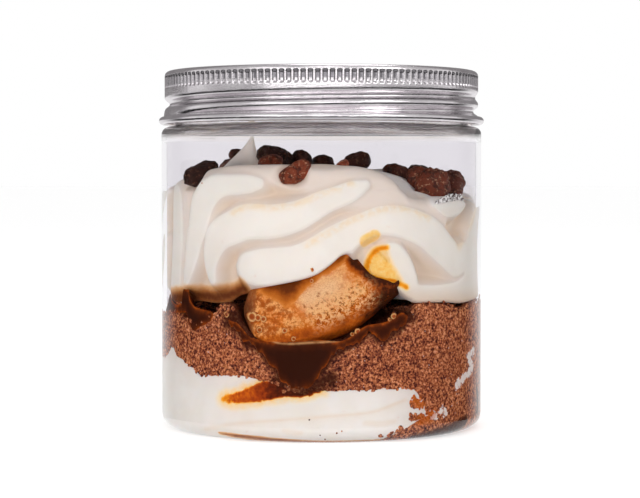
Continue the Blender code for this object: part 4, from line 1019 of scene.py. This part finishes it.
def stand_off(points):
    """How far the cream stands back from the wall: nothing in a band, then a rounded fall to the furrow; a
    soft minimum joins the bands and the ropes that don't quite touch. The back repeats the front's bands half
    a turn on."""
    total = 0
    for side in (points, half_turned(points)):
        for line, rest in [(band, 0.0) for band in BANDS] + list(ROPES):
            depth = rest + FURROW * ease(np.maximum(track(line, side), 0) / FURROW_SLOPE)
            total = total + np.exp(-depth / BAND_BLEND)
    for line in SIDE_BANDS:
        total = total + np.exp(-FURROW * ease(np.maximum(track(line, points), 0) / FURROW_SLOPE) / BAND_BLEND)
    dent = 0
    for degrees, height, spread in PRESSED_DROPS:
        away = track(((degrees, height), (degrees + 0.1, height)), points) / (spread * MM)
        dent = dent + DROP_DENT * np.exp(-away ** 4)
    return np.maximum(-BAND_BLEND * np.log(total + 1e-9), 0) + dent * (points[..., 1] < 0)


def swirl(x, y, edge):
    """Height of the cream's top: a spiral rope with rounded crests and a sharp valley, a drawn peak and a
    hollow."""
    radius = np.hypot(x, y)
    turn = np.arctan2(x, -y)
    inward = 1 - (radius / INSIDE) ** 2
    phase = 2 * math.pi * radius / SWIRL_WAVE - turn
    wave = (np.sqrt(0.04 + np.cos(phase / 2) ** 2) * 2 - 1.2) * SWIRL_HEIGHT * np.minimum(1, 3 * inward)
    away = np.hypot(x - PEAK_PLACE[0], y - PEAK_PLACE[1])
    leftward = (0.5 - 0.5 * (x - PEAK_PLACE[0]) / np.maximum(away, 1e-6)) ** 1.5
    peak = PEAK_HEIGHT * np.exp(-away / (PEAK_SPREADS[0] + (PEAK_SPREADS[1] - PEAK_SPREADS[0]) * leftward))
    hollow = HOLLOW_DEPTH * np.exp(-((x - HOLLOW_PLACE[0])**2 + (y - HOLLOW_PLACE[1])**2) / HOLLOW_SPREAD**2)
    level = edge + (SWIRL_LEVEL - edge) * ease(2.2 * inward) + SWIRL_DISH * inward
    return level + wave + peak - hollow


def rounded(away, size):
    """How far a quarter-round edge of that size stands back at a distance away from its end."""
    return size * (1 - np.sqrt(np.clip(1 - (1 - away / size).clip(0, 1) ** 2, 0, 1)))


turn = all_round(CREAM_COLUMNS)
low, high = edge_height(CREAM_LOW_EDGE, turn), edge_height(CREAM_TOP_EDGE, turn)
cream_rows = [pole(CREAM_MIDDLE)]
for radius in np.array(CREAM_UNDERSIDE) * MM:
    cream_rows.append(ring(radius, CREAM_MIDDLE + (low - CREAM_MIDDLE) * wallward(radius) + 0.6 * MM, turn))
side_rows = []
for share in np.linspace(0, 1, CREAM_ROWS):
    crowded = 0.5 - 0.5 * np.cos(math.pi * (0.06 + 0.88 * share)) / np.cos(0.06 * math.pi)  # towards both edges
    side_rows.append(ring(INSIDE + PRESS, low + (high - low) * (0.04 * share + 0.96 * crowded), turn))
side = np.array(side_rows)
back = stand_off(side)
lift, drop = (side[..., 2] - low), (high - side[..., 2])
side_radius = INSIDE + PRESS - back - rounded(lift, FOOT_ROUND) - rounded(drop, EDGE_ROUND)
cream_rows += [ring(r, p[:, 2], turn) for r, p in zip(side_radius, side)]
rim_radius = side_radius[-1]
tops = []
ring_places = np.concatenate([np.linspace(0.97, 0.55, 18), np.linspace(0.535, 0.36, 28),
                              np.linspace(0.33, 0.03, 14)])
for share in ring_places:
    flat = ring(rim_radius * share, 0, turn)
    flat[:, 2] = swirl(flat[:, 0], flat[:, 1], high)
    tops.append(flat)
cream_rows += tops + [pole(float(swirl(np.zeros(1), np.zeros(1), high.mean())[0]))]
cream_points, cream_faces = skin(cream_rows)
cream_points[:, 2] += 0.12 * MM * drift(cream_points, 5 * MM, 150) * (cream_points[:, 2] > 45 * MM)
# Painted shade for the hollow mark: the colour deepens in the furrows where the cream stands back from the wall,
# and towards its lower edge on the right.
furrow_shade = 0.42 * ease((back - 0.12 * MM) / (0.5 * MM)) + 0.5 * ease(back / (3.2 * MM))
low_edge_shade = 0.75 * ease(1 - lift / (5 * MM)) * ease((turn - 22) / 8) * (turn < 80)
side_start = len(cream_rows[0]) + len(CREAM_UNDERSIDE) * CREAM_COLUMNS
hollow = np.zeros(len(cream_points))
hollow[side_start:side_start + back.size] = np.maximum(furrow_shade, low_edge_shade).ravel()
hollow[side_start + back.size:] = 0.05
in_front = cream_points[:, 1] < 0
WICKS = (((10, 64.4), (5, 63.0), (0, 61.9), (-5, 60.3), (-10, 59.2), (-17, 58.6), (-26, 58.8), (-32, 57.2)),
         ((-5, 49.4), (0, 51.2), (5, 53.4), (10, 55.3), (15, 56.8), (20, 57.9), (27, 58.3), (33, 57.5),
          (40, 55.7)),
         ((53.7, 51.8), (55.7, 50.0), (57.1, 48.5), (60.8, 50.4), (66.3, 53.7), (74.1, 59.3)))
wick = sum(np.exp(-(track(line, cream_points) / (1.0 * MM)) ** 2) for line in WICKS) * in_front
# An amber spot's two edges as (millimetres, degrees) points.
SPOT_LEFT = ((38.5, 30.5), (39.4, 28.1), (40.2, 25.8), (40.5, 23.0), (40.9, 19.4), (41.8, 17.0), (43.1, 15.9),
             (45.0, 16.3), (46.8, 17.7), (47.9, 19.9), (48.5, 22.8))
SPOT_RIGHT = ((38.5, 31.4), (41.7, 28.5), (44.2, 26.2), (46.4, 24.7), (48.5, 23.6))
cream_angle = angle_of(cream_points)
heights = cream_points[:, 2] / MM
left = np.interp(heights, *np.array(SPOT_LEFT).T, left=90, right=90)
right = np.interp(heights, *np.array(SPOT_RIGHT).T, left=-90, right=-90)
within = ease((cream_angle - left + 0.5) / 0.8) * ease((right - cream_angle + 1.6) / 5.0)
outline = track([(angle, height) for height, angle in SPOT_LEFT], cream_points)
spot_ring = np.exp(-(outline / (0.75 * MM)) ** 2) * 0.80
pale_spot = 0.36 * ease((2.2 * MM - track(((15.2, 50.2), (18.4, 51.4)), cream_points)) / (1.1 * MM))
amber = np.maximum(np.maximum(within * 0.42, spot_ring), pale_spot) * in_front
# A painted glow round the peak, emitted through the thin mark, in place of light coming through thin cream.
from_peak = np.hypot(cream_points[:, 0] - PEAK_PLACE[0], cream_points[:, 1] - PEAK_PLACE[1])
painted_peak_glow = np.exp(-(from_peak / (6 * MM)) ** 2) * ease((cream_points[:, 2] - 67 * MM) / (3 * MM))
TAN_EDGE = ((-68, 34.6), (-60, 35.2), (-52, 35.8), (-44, 35.6), (-36, 36.6), (-30, 38.2))
tan = ease(1 - track(TAN_EDGE, cream_points) / (4.4 * MM)) * in_front
piped_cream = cream_finish("piped_cream", paint(240, 235, 226), paint(244, 240, 232))
piped = piece("piped_cream_rope", cream_points, cream_faces, piped_cream,
              {"hollow": np.clip(hollow, 0, 1), "wick": wick * 0.45, "amber": amber, "tan": tan, "syrup": 0 * tan,
               "thin": painted_peak_glow})
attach(piped, "root")
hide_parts("piped_cream")

# Loose crumbs: bits of the sponge rubbed off along its upper and lower edges, pressed between cream and
# plastic.
CRUMB_STEP = 0.95 * MM


def lumps(centres, sizes, outwards_size, seed, columns=10, rows=7):
    """Points and faces of many small uneven balls at once: one unit ball scaled, flattened along the radius
    by outwards_size and pushed about by noise at its own place."""
    turn = np.radians(all_round(columns))
    share = np.radians(np.linspace(-90, 90, rows)[1:-1])[:, None]
    unit = np.stack([np.cos(share) * np.cos(turn), np.cos(share) * np.sin(turn), np.sin(share) + 0 * turn],
                    axis=-1)
    unit, faces = skin([np.array([(0, 0, -1.0)]), *unit, np.array([(0, 0, 1.0)])])
    faces = [tuple(np.array(face) + number * len(unit)) for number in range(len(centres)) for face in faces]
    outward = centres * (1, 1, 0)
    outward /= np.linalg.norm(outward, axis=1)[:, None]
    sideways = np.cross(outward, (0, 0, 1.0))
    size = sizes[:, None, None]
    points = (centres[:, None] + outward[:, None] * unit[None, :, :1] * outwards_size
              + sideways[:, None] * unit[None, :, 1:2] * size + np.array((0, 0, 1.0)) * unit[None, :, 2:] * size)
    rough = 1 + 0.45 * drift(points, 0.55 * MM, seed)[..., None]
    return (centres[:, None] + (points - centres[:, None]) * rough).reshape(-1, 3), faces


def scatter(count, seed):
    """Fixed draws from 0 to 1, four for each of count crumbs."""
    cells = np.arange(count)[:, None] * (1, 0, 0)
    return np.stack([draw(cells, seed + k) for k in range(4)], axis=1)


edge_count = int(2 * math.pi * INSIDE / CRUMB_STEP)
places, sizes = [], []
for edge, spread, seed, skip in ((BASE_TOP_EDGE, 0.55, 200, 0.25), (SPONGE_TOP_EDGE, 0.5, 210, 0.45)):
    toss = scatter(edge_count, seed)
    degrees = (np.arange(edge_count) + toss[:, 0]) * 360 / edge_count - 180
    height = edge_height(edge, degrees) + (toss[:, 1] - 0.5) * 2 * spread * MM
    open_to_crumbs = np.abs(degrees - 85) > 40 if edge is BASE_TOP_EDGE else (degrees < -36) | (degrees > 31)
    kept = (toss[:, 2] > skip) & open_to_crumbs
    places.append(np.stack([degrees, height], axis=1)[kept])
    sizes.append((0.28 + 0.34 * toss[:, 3])[kept] * MM)
# Each heap's place and half sizes in degrees and millimetres, and how many crumbs it has.
CRUMB_HEAPS = ((34.5, 9.8, 2.2, 1.5, 26), (36.5, 8.6, 3.0, 0.9, 18), (34.5, 5.9, 3.4, 0.6, 26),
               (38.5, 5.2, 2.4, 0.7, 12), (40.5, 7.2, 2.5, 1.2, 26), (21.4, 1.9, 1.2, 0.3, 4),
               (24.9, 2.2, 1.6, 0.5, 7), (29.0, 3.0, 2.6, 0.6, 14), (-34.0, 32.8, 2.4, 1.6, 20),
               (-9.0, 13.2, 5.0, 0.6, 10), (3.0, 14.4, 3.0, 0.7, 10))
for number, (degrees, height, wide, high, count) in enumerate(CRUMB_HEAPS):
    toss = scatter(count, 230 + 5 * number)
    reach, way = np.sqrt(toss[:, 0]), toss[:, 1] * 2 * math.pi
    places.append(np.stack([degrees + wide * reach * np.cos(way), (height + high * reach * np.sin(way)) * MM],
                           axis=1))
    sizes.append((0.30 + 0.40 * toss[:, 3]) * MM)
SPECKS = ((-0.5, 2.3), (1.2, 1.4), (5.2, 2.8), (6.9, 3.2), (-4.2, 6.0), (13.0, 13.0), (-46.0, 64.5),
          (28.0, 21.0))
places.append(np.array(SPECKS) * (1, MM))
sizes.append(np.full(len(SPECKS), 0.2 * MM))
places, sizes = np.concatenate(places), np.concatenate(sizes)
crumb_centres = ring(wall_radius(places[:, 1], INSIDE + PRESS) - 0.05 * MM, places[:, 1], places[:, 0])
crumb_points, crumb_faces = lumps(crumb_centres, sizes, 0.34 * MM, 240)
crumb_wet = ease(1 - np.abs(angle_of(crumb_points) + 4) / 14) * (crumb_points[:, 2] < 20 * MM)
loose = piece("loose_crumbs", crumb_points, crumb_faces, sponge.material,
              {"owner": 0.6 + 0 * crumb_wet, "pit": 0 * crumb_wet, "soaked": crumb_wet,
               "cream_bits": 0 * crumb_wet, "amber": by_cream_end(crumb_points)})
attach(loose, "root")

# Bubbles: coffee froth caught at the finger's wet end, each a little amber dome with a painted highlight, a
# pale ring round its rim against the plastic.
# Each bubble's place in degrees and millimetres, and its radius.
BUBBLES = ((-24.4, 31.3, 1.35), (-22.2, 31.1, 0.95), (-20.2, 30.8, 0.8), (-21.6, 28.1, 0.75),
           (-12.6, 28.0, 0.7), (-9.5, 26.0, 0.6), (10.5, 27.2, 0.5), (12.4, 27.8, 0.8), (-3.0, 43.2, 0.6),
           (25.5, 31.4, 0.8), (24.0, 30.6, 0.5), (-34.6, 31.6, 0.8), (-3.4, 40.4, 0.5))
bubble_degrees, bubble_heights, bubble_sizes = np.array(BUBBLES).T * ((1,), (MM,), (MM,))
bubble_centres = ring(INSIDE + 0.05 * MM, bubble_heights, bubble_degrees)
bubble_points, bubble_faces = lumps(bubble_centres, bubble_sizes, 0.42 * MM, 250, 28, 17)
bubble_owner = np.repeat(np.arange(len(BUBBLES)), len(bubble_points) // len(BUBBLES))
from_middle = bubble_points - bubble_centres[bubble_owner]
along_wall = np.cross(bubble_centres[bubble_owner] * (1, 1, 0), (0, 0, 1.0))
along_wall /= np.linalg.norm(along_wall, axis=1)[:, None]
off_middle = np.hypot((from_middle * along_wall).sum(axis=1), from_middle[:, 2])
# A painted highlight round each bubble's rim.
painted_rim_highlight = np.exp(-((off_middle / bubble_sizes[bubble_owner] - 0.78) / 0.16) ** 2)
skin_of_coffee = Finish("bubble_skin")
bubble_shade = skin_of_coffee.mix(skin_of_coffee.mark("rim") * 0.85, paint(172, 74, 8), paint(255, 212, 138))
bubbles = piece("coffee_bubbles", bubble_points, bubble_faces, skin_of_coffee.surface(
    Base_Color=bubble_shade, Roughness=0.3, Specular_IOR_Level=0.25), {"rim": painted_rim_highlight})
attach(bubbles, "root")

# Froth at the rim: a strip of tiny bubbles where the cream's right rim is pressed flat against the plastic,
# their silvery glints a painted reflection, a speckle of white and dark grey.
FROTH = ((43.5, 59.6, 0.2), (46.0, 60.2, 0.5), (50, 60.6, 0.7), (54, 60.9, 0.7), (58, 61.0, 0.5),
         (60, 60.2, 0.3))
froth_toss = scatter(150, 260)
froth_degrees, froth_middle, froth_spread = np.array(FROTH).T
froth_angle = froth_degrees[0] + (froth_degrees[-1] - froth_degrees[0]) * froth_toss[:, 0]
froth_height = np.interp(froth_angle, froth_degrees, froth_middle)
froth_height += (froth_toss[:, 1] - 0.5) * 2 * np.interp(froth_angle, froth_degrees, froth_spread)
froth_points, froth_faces = lumps(ring(INSIDE + 0.1 * MM, froth_height * MM, froth_angle),
                                  (0.16 + 0.24 * froth_toss[:, 3]) * MM, 0.25 * MM, 270)
froth_finish = Finish("cream_froth")
# Painted reflection: a speckle of dark grey and white for the bubbles' silvery glints.
froth_painted_glints = froth_finish.mix(froth_finish.noise(0.7 * MM, 2.0).eased(0.40, 0.56), paint(96, 82, 76),
                               paint(252, 250, 248))
rim_froth = piece("rim_froth", froth_points, froth_faces, froth_finish.surface(
    Base_Color=froth_painted_glints, Roughness=0.2, Specular_IOR_Level=0.5))
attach(rim_froth, "root")

# Chocolate drops: dull dark baking drops, blunt and dented, some rubbed with lighter bloom, strewn over the
# top.
# Each drop's place and half sizes in millimetres, its turns in degrees, and how light it is.
DROPS = (
    ((-30.6, -21.6, 66.9), (5.2, 3.0, 2.6), (10, -24, 35), 0.0),
    ((-23.0, 9.0, 72.2), (2.2, 2.4, 1.7), (10, 0, 40), 0.15),
    ((-12.2, 1.0, 71.2), (5.0, 3.8, 3.1), (0, 22, 10), 0.0),
    ((-13.4, -9.0, 70.0), (3.2, 2.6, 1.9), (12, -10, 0), 0.7),
    ((-5.6, 4.5, 70.8), (3.1, 2.8, 2.6), (0, 10, 60), 0.1),
    ((-6.5, -37.4, 67.0), (4.2, 2.4, 2.5), (0, -24, -12), 1.0),
    ((0.4, 9.5, 70.2), (2.9, 2.6, 2.0), (0, 0, 20), 0.1),
    ((5.0, -35.2, 68.8), (1.9, 1.7, 1.3), (0, -38, 0), 1.0),
    ((9.6, 3.5, 70.2), (3.3, 3.0, 2.6), (0, -18, 30), 0.15),
    ((20.4, -11.0, 66.2), (4.5, 3.2, 2.9), (0, 26, 6), 0.25),
    ((24.0, -20.5, 64.6), (3.0, 2.9, 3.9), (24, 10, 0), 0.6),
    ((27.8, -23.2, 63.5), (4.4, 2.5, 5.1), (-8, 26, 14), 0.55),
    ((33.2, -15.8, 63.8), (3.3, 3.0, 4.0), (0, 14, 30), 0.35),
    ((-1.5, 22.0, 68.4), (3.6, 3.3, 2.6), (10, 12, 70), 0.3),
    ((-6.5, 27.0, 69.2), (4.3, 3.4, 2.5), (-14, 6, 15), 0.1),
    ((-25.0, 23.5, 68.4), (3.6, 3.3, 2.9), (8, -16, 50), 0.5),
    ((27.5, 15.5, 66.6), (4.1, 3.2, 2.6), (4, 20, 35), 0.0),
    ((0.5, 35.0, 67.0), (3.5, 3.1, 2.7), (-20, 0, 65), 0.6),
)
DROP_SQUARE = 2.3
DROP_COLUMNS, DROP_ROWS = 72, 45


def turned_by(points, degrees):
    """Points turned about X, then Y, then Z by these degrees."""
    a, b, c = np.radians(degrees)
    about_x = np.array(((1, 0, 0), (0, math.cos(a), -math.sin(a)), (0, math.sin(a), math.cos(a))))
    about_y = np.array(((math.cos(b), 0, math.sin(b)), (0, 1, 0), (-math.sin(b), 0, math.cos(b))))
    about_z = np.array(((math.cos(c), -math.sin(c), 0), (math.sin(c), math.cos(c), 0), (0, 0, 1)))
    return points @ (about_z @ about_y @ about_x).T


turn = np.radians(all_round(DROP_COLUMNS))
share = np.radians(np.linspace(-90, 90, DROP_ROWS)[1:-1])[:, None]
blunt, wide = squared(np.sin(share), DROP_SQUARE), squared(np.cos(share), DROP_SQUARE)
blunt_rings = np.stack([wide * squared(np.cos(turn), DROP_SQUARE), wide * squared(np.sin(turn), DROP_SQUARE),
                        blunt + 0 * turn], axis=-1)
blunt_ball, ball_faces = skin([np.array([(0, 0, -1.0)]), *blunt_rings, np.array([(0, 0, 1.0)])])
drop_points, drop_faces = [], []
for number, (centre, half, turns, _) in enumerate(DROPS):
    lump = blunt_ball * np.array(half) * MM
    offset = lump + number * 0.1
    dents = (drift(offset, 3.4 * MM, 160) * 0.15 + drift(offset, 1.4 * MM, 161) * 0.09
             + drift(offset, 0.55 * MM, 162) * 0.045)
    drop_points.append(turned_by(lump * (1 + dents)[:, None], turns) + np.array(centre) * MM)
    drop_faces += [[index + number * len(blunt_ball) for index in face] for face in ball_faces]
drop_tones = np.repeat([tone for *_, tone in DROPS], len(blunt_ball))
chocolate = Finish("dull_chocolate")
bloom = chocolate.noise(1.8 * MM, 4.0, 0.65)
dust = chocolate.noise(0.75 * MM, 4.0, 0.7)
rubbed = chocolate.mark("tone")
drop_shade = chocolate.mix(rubbed, paint(52, 26, 18), paint(136, 63, 37))
drop_shade = chocolate.mix((bloom + (dust - 0.5) * 0.8).eased(0.46, 0.60) * 0.75, drop_shade, paint(30, 14, 9))
drop_shade = chocolate.mix(dust.eased(0.55, 0.64) * (rubbed * 0.6 + 0.22), drop_shade, paint(222, 160, 124))
drop_relief = chocolate.bump(dust, 0.45 * MM)
drops = piece("strewn_drops", np.concatenate(drop_points), drop_faces, chocolate.surface(
    Base_Color=drop_shade, Roughness=0.48, Specular_IOR_Level=0.25, Normal=drop_relief),
    {"tone": drop_tones})
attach(drops, "root")
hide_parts(*[f"chocolate_drop_{number:02d}" for number in range(1, 19)])
